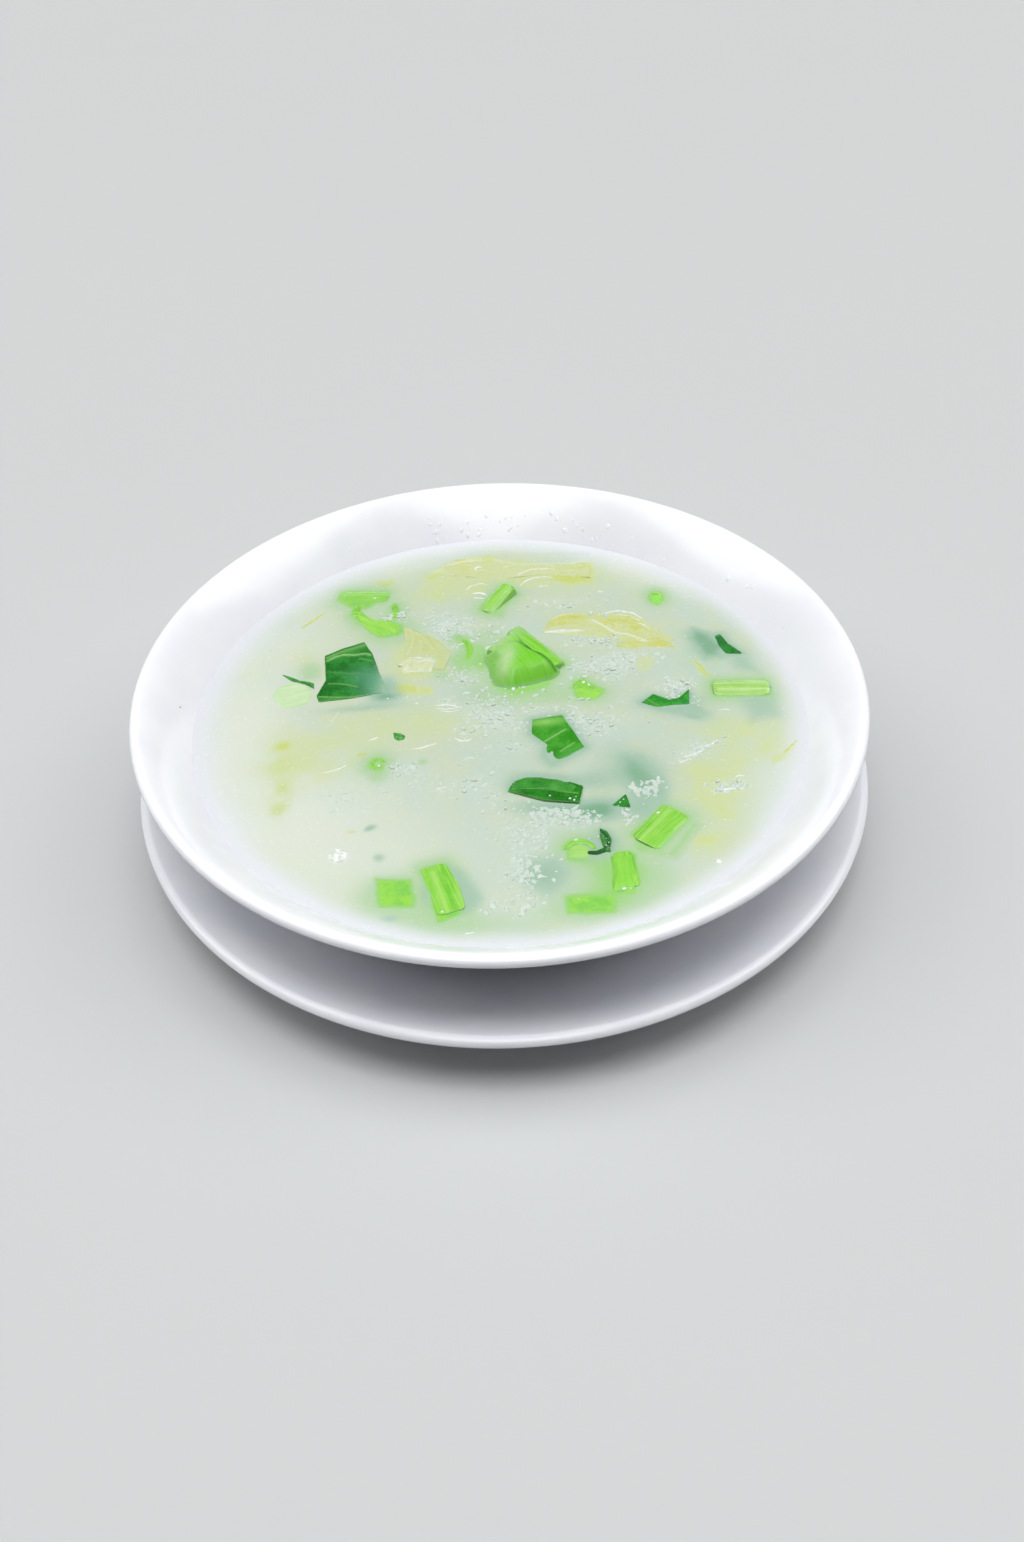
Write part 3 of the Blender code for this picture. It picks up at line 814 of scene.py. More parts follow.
@dataclass(frozen=True)
class CongeeFinish:
    """Milky rice water: pale green-white, tinted by what lies in it, wet on top."""

    name: str = "congee_wet"
    cool: Colour = seen(200, 217, 202)
    warm: Colour = seen(207, 218, 192)
    milk: Colour = seen(230, 235, 223)
    rice: Colour = seen(218, 230, 218)
    rice_deep: Colour = seen(203, 219, 205)
    yellow_haze: Colour = seen(210, 222, 166)
    yellow: Colour = seen(206, 218, 100)
    leaf_haze: Colour = seen(170, 200, 178)
    leaf_near: Colour = seen(130, 178, 145)
    leaf_touch: Colour = seen(98, 165, 106)
    stem_haze: Colour = seen(186, 214, 174)
    stem_near: Colour = seen(158, 214, 122)
    stem_touch: Colour = seen(158, 223, 88)
    stem_deep: Colour = seen(134, 210, 92)
    shallow: Colour = seen(233, 236, 242)
    roughness: float = 0.2

    def material(self) -> bpy.types.Material:
        """Build the material."""
        shader = Shader(self.name)
        mottle = shader.noise(14.0, detail=5.0, roughness=0.6)
        colour = shader.mix(shader.remap(mottle, 0.35, 0.65), self.cool, self.warm)
        colour = shader.mix(shader.attribute(Tint.MILK.value), colour, self.milk)
        yellow = shader.attribute(Tint.YELLOW.value)
        colour = shader.mix(shader.remap(yellow, 0.0, 0.55), colour, self.yellow_haze)
        colour = shader.mix(shader.remap(yellow, 0.45, 0.9, 0.0, 0.9), colour, self.yellow)
        flakes = shader.noise(1.5, detail=3.0, roughness=0.6)
        fluff = shader.mix(shader.remap(flakes, 0.38, 0.6), self.rice_deep, self.rice)
        colour = shader.mix(shader.attribute(Tint.RICE.value), colour, fluff)
        patchy = shader.mix(shader.remap(shader.noise(5.0), 0.42, 0.6), self.stem_touch, self.stem_deep)
        for tint, haze, near, touch in (
            (Tint.STEM, self.stem_haze, self.stem_near, patchy),
            (Tint.LEAF, self.leaf_haze, self.leaf_near, self.leaf_touch),
        ):
            amount = shader.attribute(tint.value)
            colour = shader.mix(shader.remap(amount, 0.0, 0.45), colour, haze)
            colour = shader.mix(shader.remap(amount, 0.4, 0.8), colour, near)
            colour = shader.mix(shader.remap(amount, 0.78, 1.0), colour, touch)
        shallow = shader.attribute("shallow")
        colour = shader.mix(shallow, colour, self.shallow)
        gloss = shader.remap(flakes, 0.2, 0.8, self.roughness * 0.7, self.roughness * 1.5)
        shader.set(Base_Color=colour, Roughness=gloss, IOR=1.36, Coat_Weight=0.5, Coat_Roughness=0.06)
        relief = shader.math("MULTIPLY", shader.noise(1.3, detail=3.0, roughness=0.6),
                             shader.remap(shallow, 0.1, 0.8, 1.0, 0.0))
        shader.bump(relief, 0.22, 0.25)
        return shader.material


@dataclass(frozen=True)
class Congee:
    """The congee up to its waterline: one closed body with a living surface."""

    grid: int = 284
    bottom_rings: int = 7
    wall_overlap: float = 0.12
    edge_climb: float = 0.12
    edge_width: float = 4.0
    film_climb: float = 0.22
    film_reach: float = 0.7
    leaf_haze: float = 0.5
    leaf_haze_reach: float = 2.6
    stem_haze: float = 0.74
    stem_haze_reach: float = 3.0
    swell: float = 0.09
    swell_size: float = 9.0
    rice_relief: float = 0.34
    lump_size: float = 2.6
    clump_size: float = 6.0
    clump_middle: float = 0.62
    clump_spread: float = 0.75
    rice_share: float = 1.15
    calm_edge: tuple[float, float] = (2.0, 9.0)
    dip: float = 0.3
    drift: float = 0.5
    drift_size: float = 4.0
    fade_depths: tuple[float, float, float, float] = (13.0, 17.0, 18.0, 9.0)

    def disc(self, radius: float) -> tuple[np.ndarray, np.ndarray]:
        """Spread a square grid over a disc.

        Args:
            radius: The disc's radius.

        Returns:
            The points' x and y, row by row.
        """
        side = np.linspace(-1, 1, self.grid)
        u, v = np.meshgrid(side, side)
        along_u = np.abs(u) >= np.abs(v)
        with np.errstate(divide="ignore", invalid="ignore"):
            angle = np.where(along_u, np.pi / 4 * v / u, np.pi / 2 - np.pi / 4 * u / v)
        reach = np.where(along_u, u, v)
        angle = np.nan_to_num(angle)
        return (radius * reach * np.cos(angle)).ravel(), (radius * reach * np.sin(angle)).ravel()

    def edge_loop(self) -> list[int]:
        """The grid's outer points, in order round the disc."""
        last = self.grid - 1
        lower = list(range(0, last))
        right = [row * self.grid + last for row in range(0, last)]
        upper = [last * self.grid + column for column in range(last, 0, -1)]
        left = [row * self.grid for row in range(last, 0, -1)]
        return lower + right + upper + left

    def relief(self, x: np.ndarray, y: np.ndarray, radius: float, rice: np.ndarray) -> np.ndarray:
        """Height above the congee's level.

        Args:
            x: Places across.
            y: Places along.
            radius: The waterline's radius.
            rice: How much rice shows at each place.

        Returns:
            The height of each point.
        """
        inward = radius - np.hypot(x, y)
        climb = self.edge_climb * np.exp(-np.clip(inward, 0, None) / self.edge_width)
        swell = self.swell * layered_noise(x, y, self.swell_size, 3, seed=11)
        lumps = np.clip(layered_noise(x, y, self.lump_size, 2, seed=23), -0.3, 1.0)
        calm = smoothstep(*self.calm_edge, inward)
        dip = self.dip * combined(JUST_SUNK, x, y)
        return climb + (swell + self.rice_relief * rice * lumps) * calm - dip

    def rice(self, x: np.ndarray, y: np.ndarray) -> np.ndarray:
        """How much rice shows at these places, from 0 to 1."""
        clumps = self.clump_middle + self.clump_spread * layered_noise(x, y, self.clump_size, 4, seed=31)
        return np.clip(combined(TINTS[Tint.RICE], x, y) * np.clip(clumps, 0, 1.2) * self.rice_share, 0, 1)

    def nearness(self, points: np.ndarray, tree: BVHTree | None, reach: float) -> np.ndarray:
        """How near points lie to some pieces: 1 on them, fading with distance.

        Args:
            points: The points in metres.
            tree: The pieces' surface.
            reach: The distance over which it fades.

        Returns:
            The nearness of each point.
        """
        if tree is None:
            return np.zeros(len(points))
        far = reach * 6 * MM
        found = (tree.find_nearest(Vector(point), far)[3] for point in points)
        distance = np.array([far if value is None else value for value in found])
        return np.exp(-distance / (reach * MM))

    def shallow(self, x: np.ndarray, y: np.ndarray, measures: Measures) -> np.ndarray:
        """How much of the china shows through, from 0 in deep congee to 1 at the edge.

        Args:
            x: Places across.
            y: Places along.
            measures: Where the dishes are.

        Returns:
            The share at each place.
        """
        radius = np.hypot(x, y)
        inner = np.array([BOWL.height(value) for value in radius])
        depth = np.clip(measures.level - measures.bowl_stand - inner, 0, None)
        right, back, left, front = self.fade_depths
        share_x, share_y = (x / radius.clip(1e-6)) ** 2, (y / radius.clip(1e-6)) ** 2
        full = np.where(x > 0, right, left) * share_x + np.where(y > 0, back, front) * share_y
        full *= 1 + 0.25 * layered_noise(x, y, 16.0, 2, seed=5)
        return 1 - smoothstep(0, 1, depth / full) ** 0.8

    def build(
        self, measures: Measures, stems: BVHTree | None, leaves: BVHTree | None, pieces: BVHTree | None
    ) -> bpy.types.Object:
        """Make the congee.

        Args:
            measures: Where the dishes and the level are.
            stems: The stems' sunk surfaces.
            leaves: The leaves' sunk surfaces.
            pieces: All the pieces near the surface.

        Returns:
            The finished piece.
        """
        floor = measures.bowl_stand
        radius = BOWL.radius_at(measures.level + self.edge_climb - floor) + self.wall_overlap
        x, y = self.disc(radius)
        rice = self.rice(x, y)
        height = self.relief(x, y, radius, rice)
        top = np.stack([measures.centre_x + x, measures.centre_y + y, measures.level + height], axis=1) * MM
        top[:, 2] += self.film_climb * MM * self.nearness(top, pieces, self.film_reach)
        edge = self.edge_loop()
        count = len(edge)
        angles = np.arctan2(y[edge], x[edge])
        rings = []
        for step in range(1, self.bottom_rings):
            reach = radius * (1 - step / self.bottom_rings) ** 0.6
            low = BOWL.height(reach) + floor - self.wall_overlap
            rings.append(np.stack([
                measures.centre_x + reach * np.cos(angles),
                measures.centre_y + reach * np.sin(angles),
                np.full(count, low),
            ], axis=1) * MM)
        base = [[measures.centre_x * MM, measures.centre_y * MM, (BOWL.height(0) + floor) * MM]]
        points = np.concatenate([top] + rings + [np.array(base)])
        faces = self.faces(edge, len(top))
        piece = mesh_object("congee_surface", points, faces)
        piece.data.set_sharp_from_angle(angle=math.radians(50))
        below = len(points) - len(top)
        drift_x = x + self.drift * layered_noise(x, y, self.drift_size, 3, seed=51)
        drift_y = y + self.drift * layered_noise(x, y, self.drift_size, 3, seed=61)
        values = {tint.value: combined(patches, drift_x, drift_y) for tint, patches in TINTS.items()}
        values[Tint.RICE.value] = rice
        values[Tint.YELLOW.value] *= np.clip(0.85 + 0.4 * layered_noise(x, y, 6, 3, 41), 0, 1)
        near_stem = self.stem_haze * self.nearness(top, stems, self.stem_haze_reach)
        near_leaf = self.leaf_haze * self.nearness(top, leaves, self.leaf_haze_reach)
        values[Tint.STEM.value] = np.maximum(values[Tint.STEM.value], near_stem)
        values[Tint.LEAF.value] = np.maximum(values[Tint.LEAF.value], near_leaf)
        values["shallow"] = self.shallow(x, y, measures)
        for name, value in values.items():
            store(piece.data, name, np.concatenate([value, np.zeros(below)]))
        return finish_piece(piece, CongeeFinish().material(), "congee", "congee")

    def faces(self, edge: list[int], top_count: int) -> list[tuple[int, ...]]:
        """The faces of the surface, the sides and the base.

        Args:
            edge: The surface's outer points.
            top_count: How many points the surface has.

        Returns:
            The corners of each face.
        """
        side = self.grid
        faces = []
        for row in range(side - 1):
            for column in range(side - 1):
                corner = row * side + column
                faces.append((corner, corner + 1, corner + side + 1, corner + side))
        loops = [edge]
        for ring in range(self.bottom_rings - 1):
            start = top_count + ring * len(edge)
            loops.append(list(range(start, start + len(edge))))
        for upper, lower in zip(loops, loops[1:]):
            for index in range(len(edge)):
                beside = (index + 1) % len(edge)
                faces.append((upper[index], lower[index], lower[beside], upper[beside]))
        base = top_count + (self.bottom_rings - 1) * len(edge)
        last = loops[-1]
        faces += [(last[index], base, last[(index + 1) % len(edge)]) for index in range(len(edge))]
        return faces


# ------------------------------------------------------------------------ greens


@dataclass(frozen=True)
class Line:
    """A thin line over a piece: a vein, a fold or a wet ridge.

    Its points are places in the congee; width and raise are in millimetres.
    """

    points: tuple[Point, ...]
    width: float = 0.35
    raised: float = 0.1
    strength: float = 1.0

    def strength_at(self, x: np.ndarray, y: np.ndarray) -> np.ndarray:
        """How strongly the line shows at these places."""
        return self.strength * np.exp(-((path_distance(self.points, x, y) / self.width) ** 2))


def strongest(lines: Sequence[Line], x: np.ndarray, y: np.ndarray) -> np.ndarray:
    """The strongest of several lines at each place, and 0 where there is none."""
    total = np.zeros_like(x)
    for line in lines:
        total = np.maximum(total, line.strength_at(x, y))
    return total


def raised_by(lines: Sequence[Line], x: np.ndarray, y: np.ndarray) -> np.ndarray:
    """How far several lines raise each place together, in millimetres."""
    return sum((line.raised * line.strength_at(x, y) for line in lines), np.zeros(len(x)))


class Refined:
    """A fine copy of one of the frame's pieces of green."""

    WELD: float = 0.002
    AXIS_SAMPLE: int = 4000

    def __init__(
        self, node: str, measures: Measures, voxel: float, rounds: int,
        crown: float = 1.0, settle: float = 1.0,
    ) -> None:
        """Copy the piece, make its mesh fine and even, and soften its corners.

        Args:
            node: The frame's node.
            measures: Where the congee is.
            voxel: The mesh's fineness.
            rounds: How often its corners are softened.
            crown: How much of its top's curve is kept, from nearly 0 for a flat top to 1.
            settle: How much of its height over the level is kept.
        """
        self.node = node
        self.measures = measures
        source = bpy.data.objects[node]
        self.piece = bpy.data.objects.new(node + "_fresh", source.data.copy())
        bpy.context.scene.collection.objects.link(self.piece)
        weld = self.piece.modifiers.new("weld", "WELD")
        weld.merge_threshold = self.WELD * MM
        remesh = self.piece.modifiers.new("remesh", "REMESH")
        remesh.mode = "VOXEL"
        remesh.voxel_size = voxel * MM
        soften = self.piece.modifiers.new("soften", "SMOOTH")
        soften.factor, soften.iterations = 0.5, rounds
        apply_modifiers(self.piece)
        self.update()
        if crown < 1:
            self.flatten(crown)
        if settle < 1:
            self.points[:, 2] -= np.clip(self.lift, 0, None) * (1 - settle) * MM
            move_points(self.piece.data, self.points)
            self.update()

    def flatten(self, crown: float, depth: float = 4.5) -> None:
        """Keep only a share of the top's curve, so that more of it stands out of the congee."""
        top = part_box(self.node)[1].z
        below = (top - self.points[:, 2]) / MM
        kept = np.where(
            below < depth, below * crown + (1 - crown) * depth * smoothstep(depth * 0.4, depth, below),
            below
        )
        self.points[:, 2] = top - kept * MM
        move_points(self.piece.data, self.points)
        self.update()

    def update(self) -> None:
        """Read the points and the normals again."""
        mesh = self.piece.data
        self.points = coordinates(mesh)
        normals = np.empty(len(mesh.vertices) * 3)
        mesh.vertex_normals.foreach_get("vector", normals)
        self.normals = normals.reshape(-1, 3)
        self.x = self.points[:, 0] / MM - self.measures.centre_x
        self.y = self.points[:, 1] / MM - self.measures.centre_y
        self.lift = self.points[:, 2] / MM - self.measures.level

    def push(self, distance: np.ndarray) -> None:
        """Move the surface along its normals by these distances, staying within the frame's box."""
        low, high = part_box(self.node)
        points = self.points + self.normals * distance[:, None] * MM
        move_points(self.piece.data, np.clip(points, np.array(low), np.array(high)))
        self.update()

    def lengthwise(self) -> tuple[np.ndarray, np.ndarray, np.ndarray]:
        """Places in the piece's own frame: along its longest way, across it, and upward."""
        middle = self.points.mean(axis=0)
        offsets = self.points - middle
        sample = offsets[:: max(1, len(offsets) // self.AXIS_SAMPLE)]
        long_way = np.linalg.svd(sample, full_matrices=False)[2][0]
        side = np.cross([0, 0, 1], long_way)
        side /= np.linalg.norm(side)
        upward = np.cross(long_way, side)
        self.end_facing = np.abs(self.normals @ long_way)
        return offsets @ long_way / MM, offsets @ side / MM, offsets @ upward / MM

    def tree(self, above: float, below: float) -> Surface:
        """The part of the surface between two heights over the congee's level.

        Args:
            above: The lower height.
            below: The upper height.

        Returns:
            The points and the faces there.
        """
        faces = [
            tuple(face.vertices) for face in self.piece.data.polygons
            if above < self.lift[face.vertices[0]] < below
        ]
        return self.points, faces


def joined_tree(parts: Iterable[Surface]) -> BVHTree | None:
    """One search tree over the surfaces of several pieces.

    Args:
        parts: Each piece's points and faces.

    Returns:
        The tree, or nothing where there are no faces.
    """
    points, faces, start = [], [], 0
    for part_points, part_faces in parts:
        points += part_points.tolist()
        faces += [tuple(corner + start for corner in face) for face in part_faces]
        start += len(part_points)
    return BVHTree.FromPolygons(points, faces) if faces else None


@dataclass(frozen=True)
class StemFinish:
    """Blanched stem: bright lime, streaked lengthwise, paler inside, wet, with painted shade in its
    grooves.
    """

    name: str
    deep: Colour = seen(112, 202, 58)
    mid: Colour = seen(144, 217, 76)
    light: Colour = seen(172, 228, 112)
    inside: Colour = seen(186, 222, 140)
    film: Colour = seen(158, 215, 120)
    # Colour of the grooves and of the joint's slit: painted shade, darker where the crease lies in shadow.
    crease_shade: Colour = seen(112, 202, 58)
    coat: float = 0.6
    roughness: float = 0.22

    def material(self) -> bpy.types.Material:
        """Build the material."""
        shader = Shader(self.name)
        place = shader.node("ShaderNodeCombineXYZ")
        shader.put(place.inputs[0], shader.attribute("along"))
        shader.put(place.inputs[1], shader.attribute("across"))
        stretch = shader.node("ShaderNodeMapping")
        stretch.inputs["Scale"].default_value = (0.07, 1.35, 1.0)
        shader.put(stretch.inputs["Vector"], place.outputs[0])
        fibres = shader.node("ShaderNodeTexNoise")
        fibres.inputs["Scale"].default_value = 1.0
        fibres.inputs["Detail"].default_value = 5.0
        fibres.inputs["Roughness"].default_value = 0.65
        shader.put(fibres.inputs["Vector"], stretch.outputs[0])
        colour = shader.ramp(fibres.outputs["Fac"],
                             ((0.32, self.deep), (0.5, self.mid), (0.68, self.light)))
        # Grooves take the crease colour, a painted shade.
        colour = shader.overlay(colour, stripe=self.light, groove=self.crease_shade, inside=self.inside)
        shade = shader.noise(3.5, detail=2.0)
        colour = shader.mix(shader.remap(shade, 0.35, 0.7, 0.0, 0.3), colour, self.light)
        colour = shader.overlay(colour, film=self.film)
        gloss = shader.remap(fibres.outputs["Fac"], 0.3, 0.7, self.roughness * 0.7, self.roughness * 1.4)
        shader.set(Base_Color=colour, Roughness=gloss, IOR=WET_IOR,
                   Coat_Weight=self.coat, Coat_Roughness=0.08)
        shader.bump(fibres.outputs["Fac"], 0.25, 0.3)
        return shader.material


@dataclass(frozen=True)
class LeafFinish:
    """Blanched leaf: dark green, finely veined, with paler ribs, steep side faces painted paler to lift
    their shade, under wet film.
    """

    name: str
    dark: Colour = seen(28, 108, 34)
    mid: Colour = seen(48, 138, 52)
    light: Colour = seen(92, 178, 80)
    rib: Colour = seen(150, 205, 120)
    # edge: paler green on the leaf's steep side faces, painted light that lifts the shade the lamps leave
    # there.
    edge: Colour = seen(120, 190, 92)
    strip: Colour = seen(140, 205, 100)
    veil: Colour = seen(104, 170, 136)
    fog: Colour = seen(166, 200, 172)
    coat: float = 0.4
    roughness: float = 0.26

    def material(self) -> bpy.types.Material:
        """Build the material."""
        shader = Shader(self.name)
        cells = shader.node("ShaderNodeTexVoronoi", feature="DISTANCE_TO_EDGE")
        cells.inputs["Scale"].default_value = 1 / (1.5 * MM)
        shader.put(cells.inputs["Vector"], shader.position())
        blotch = shader.noise(5.0, detail=4.0, roughness=0.6)
        colour = shader.mix(shader.remap(blotch, 0.35, 0.65), self.dark, self.mid)
        colour = shader.overlay(colour, pale=self.light)
        web = shader.remap(cells.outputs["Distance"], 0.0, 0.09, 0.22, 0.0)
        colour = shader.mix(web, colour, self.light)
        # The edge layer is painted light on the side faces; veil and fog are the congee's film over the
        # leaf.
        colour = shader.overlay(
            colour, strip=self.strip, rib=self.rib, edge=self.edge, veil=self.veil, fog=self.fog
        )
        gloss = shader.remap(blotch, 0.3, 0.7, self.roughness * 0.7, self.roughness * 1.3)
        shader.set(Base_Color=colour, Roughness=gloss, IOR=WET_IOR,
                   Coat_Weight=self.coat, Coat_Roughness=0.12)
        shader.bump(shader.math("ADD", shader.math("MULTIPLY", web, 1.2), blotch), 0.3, 0.2)
        return shader.material


@dataclass(frozen=True)
class CabbageFinish:
    """Soft cabbage: translucent yellow-green with white ribs, very wet."""

    name: str
    deep: Colour = seen(206, 208, 96)
    mid: Colour = seen(214, 220, 128)
    clear: Colour = seen(214, 224, 176)
    rib: Colour = seen(238, 242, 224)
    roughness: float = 0.12

    def material(self) -> bpy.types.Material:
        """Build the material."""
        shader = Shader(self.name)
        folds = shader.noise(3.2, detail=4.0, roughness=0.6)
        colour = shader.ramp(folds, ((0.35, self.clear), (0.5, self.mid), (0.66, self.deep)))
        colour = shader.mix(shader.attribute("pale"), self.clear, colour)
        colour = shader.overlay(colour, rib=self.rib, film=self.clear)
        gloss = shader.remap(folds, 0.3, 0.7, self.roughness * 0.7, self.roughness * 1.6)
        shader.set(Base_Color=colour, Roughness=gloss, IOR=WET_IOR, Coat_Weight=0.7, Coat_Roughness=0.05)
        shader.bump(folds, 0.35, 0.4)
        return shader.material


@dataclass(frozen=True)
class StemPiece:
    """A cut stem: its fibres, its paler ends, its grooves and its pale stripes."""

    node: str
    stripes: tuple[Line, ...] = ()
    grooves: tuple[Line, ...] = ()
    inside: tuple[Spot, ...] = ()
    film_top: float = 0.9
    rough: float = 0.07
    crown: float = 1.0
    settle: float = 1.0
    voxel: float = 0.3
    rounds: int = 12
    fibre_width: float = 1.1
    lump_size: float = 4.0
    finish: StemFinish | None = None

    def build(self, measures: Measures) -> Refined:
        """Make the piece.

        Args:
            measures: Where the congee is.

        Returns:
            The refined piece.
        """
        fine = Refined(self.node, measures, self.voxel, self.rounds, self.crown, self.settle)
        stripe = strongest(self.stripes, fine.x, fine.y) * (fine.normals[:, 2] > 0)
        groove = strongest(self.grooves, fine.x, fine.y) * (fine.normals[:, 2] > -0.2)
        along, across, upward = fine.lengthwise()
        ridges = lattice_noise(across + 40, along * 0.05 + upward * 0.3 + 7,
                               self.fibre_width, seed=3)
        lumps = layered_noise(along + 11, across + upward, self.lump_size, 2, seed=9)
        raised = raised_by(self.stripes, fine.x, fine.y) - raised_by(self.grooves, fine.x, fine.y)
        fine.push(self.rough * (ridges + lumps) + raised)
        along, across, upward = fine.lengthwise()
        half = np.hypot(across / max(across.max(), 0.1), upward / max(upward.max(), 0.1))
        core = (1 - smoothstep(0.45, 0.8, half)) * smoothstep(0.75, 0.93, fine.end_facing)
        store_all(
            fine.piece.data, along=along + measures.centre_x, across=across + upward * 0.35 + 3.0,
            stripe=stripe, groove=groove,
            inside=np.maximum(core, combined(self.inside, fine.x, fine.y)),
            film=1 - smoothstep(-0.2, self.film_top, fine.lift),
        )
        material = (self.finish or StemFinish(self.node + "_skin")).material()
        finish_piece(fine.piece, material, "green_stem", self.node)
        return fine


@dataclass(frozen=True)
class LeafPiece:
    """A cut piece of leaf: its ribs, paler parts, pale strip and the film over it."""

    node: str
    ribs: tuple[Line, ...] = ()
    pale: tuple[Spot, ...] = ()
    strip: tuple[Spot, ...] = ()
    veil: tuple[Spot, ...] = ()
    fog: tuple[Spot, ...] = ()
    veil_top: float = 0.2
    # How strongly the steep side faces are painted paler, as painted light against their shade.
    edge: float = 0.6
    rough: float = 0.1
    settle: float = 0.5
    voxel: float = 0.26
    rounds: int = 2
    wave_size: float = 5.0
    finish: LeafFinish | None = None

    def build(self, measures: Measures) -> Refined:
        """Make the piece.

        Args:
            measures: Where the congee is.

        Returns:
            The refined piece.
        """
        fine = Refined(self.node, measures, self.voxel, self.rounds, settle=self.settle)
        raised = raised_by(self.ribs, fine.x, fine.y)
        waves = self.rough * layered_noise(fine.x, fine.y, self.wave_size, 3, seed=14)
        fine.push((raised + waves) * np.sign(fine.normals[:, 2]))
        film = 1 - smoothstep(-0.25, self.veil_top, fine.lift)
        store_all(
            fine.piece.data,
            rib=strongest(self.ribs, fine.x, fine.y) * (fine.normals[:, 2] > 0),
            pale=combined(self.pale, fine.x, fine.y), strip=combined(self.strip, fine.x, fine.y),
            # Steep side faces take the edge colour: painted light that lifts their shade.
            edge=self.edge * (1 - smoothstep(0.2, 0.75, np.abs(fine.normals[:, 2]))),
            veil=np.maximum(film, combined(self.veil, fine.x, fine.y)),
            fog=combined(self.fog, fine.x, fine.y),
        )
        material = (self.finish or LeafFinish(self.node + "_blade")).material()
        finish_piece(fine.piece, material, "green_leaf", self.node)
        return fine


@dataclass(frozen=True)
class CabbagePiece:
    """A soft piece of cabbage: its folds, white ribs and yellow core."""

    node: str
    ribs: tuple[Line, ...] = ()
    core: tuple[Spot, ...] = ()
    white: tuple[Spot, ...] = ()
    faint: tuple[Spot, ...] = ()
    rough: float = 0.25
    crown: float = 0.35
    settle: float = 0.7
    voxel: float = 0.3
    rounds: int = 3
    fold_size: float = 3.2
    finish: CabbageFinish | None = None

    def build(self, measures: Measures) -> Refined:
        """Make the piece.

        Args:
            measures: Where the congee is.

        Returns:
            The refined piece.
        """
        fine = Refined(self.node, measures, self.voxel, self.rounds, self.crown, self.settle)
        raised = raised_by(self.ribs, fine.x, fine.y)
        folds = self.rough * layered_noise(fine.x, fine.y * 1.6, self.fold_size, 3, seed=21)
        fine.push((raised + folds) * np.sign(fine.normals[:, 2]))
        speckle = 0.6 + 0.6 * layered_noise(fine.x, fine.y, 1.6, 2, seed=91)
        white = np.clip(combined(self.white, fine.x, fine.y) * speckle, 0, 1)
        ribs = np.maximum(strongest(self.ribs, fine.x, fine.y), white)
        film = 0.9 * (1 - smoothstep(-0.1, 0.6, fine.lift))
        store_all(
            fine.piece.data, rib=ribs * (fine.normals[:, 2] > 0),
            pale=np.clip(0.25 + combined(self.core, fine.x, fine.y), 0, 1),
            film=np.maximum(film, combined(self.faint, fine.x, fine.y)),
        )
        material = (self.finish or CabbageFinish(self.node + "_flesh")).material()
        finish_piece(fine.piece, material, "cabbage", self.node)
        return fine


STEMS = (
    StemPiece("stem_far_left", settle=0.45, rounds=20,
              stripes=(Line(((-52, 66), (-42, 63)), 0.8, 0.05, 0.4),)),
    StemPiece("stem_far_middle", film_top=1.7, settle=0.8, rounds=16,
              stripes=(Line(((-4, 54), (4, 65)), 0.8, 0.1, 0.9),)),
    StemPiece("stem_right", rounds=30, settle=0.5, film_top=0.5,
              # The lower pale line, near y 6.7, is a painted highlight along the stem's top; the upper one
              # is a paler band of the stem.
              stripes=(Line(((71.5, 6.9), (88, 6.5)), 0.5, 0.1),
                       Line(((71.5, 10), (88, 9.6)), 0.6, 0.1, 0.6)),
              finish=StemFinish("stem_right_skin", deep=seen(148, 212, 84), mid=seen(164, 217, 106),
                                light=seen(198, 232, 156))),
    StemPiece("stem_near_right", settle=0.42, rounds=24, film_top=0.5,
              stripes=(Line(((40, -60), (50, -48)), 1, 0.05, 0.8),)),
    StemPiece("stem_near_sunk", film_top=0.3, crown=0.15,
              stripes=(Line(((34, -65.5), (33, -76.5)), 1.2, 0, 0.5),)),
    StemPiece("stem_ridged", film_top=0.12, crown=0.12, rough=0.04,
              stripes=(Line(((-20, -70), (-15.5, -85)), 0.8, 0.15),
                       Line(((-13.5, -69), (-11, -83)), 0.8, 0.1, 0.7)),
              grooves=(Line(((-17.5, -69), (-13.2, -85)), 0.7, 0.15, 0.8),)),
    StemPiece("stem_chip"), StemPiece("stem_crook"), StemPiece("stem_crescent", film_top=0.3),
    StemPiece("stem_half_ring", film_top=0.4), StemPiece("stem_small_ring", film_top=0.4),
    StemPiece("stem_round"),
    StemPiece("stem_joint", stripes=(Line(((2.4, 37), (-0.7, 30.3), (-2.4, 26.9)), 0.9, 0.1, 0.8),),
              # The slit's groove is painted dark green as its shade.
              grooves=(Line(((7.6, 29.6), (12.6, 24.4), (18.6, 18.9)), 0.7, 0.5),),
              inside=(Spot(1, 32, 9, 4.4, 59), Spot(6, 36.5, 3.4, 3.4, 0, 0.9)),
              finish=StemFinish("joint_skin", deep=seen(116, 208, 46), mid=seen(138, 220, 64),
                                light=seen(160, 226, 100), inside=seen(170, 216, 140),
                                crease_shade=seen(40, 130, 18))),
)
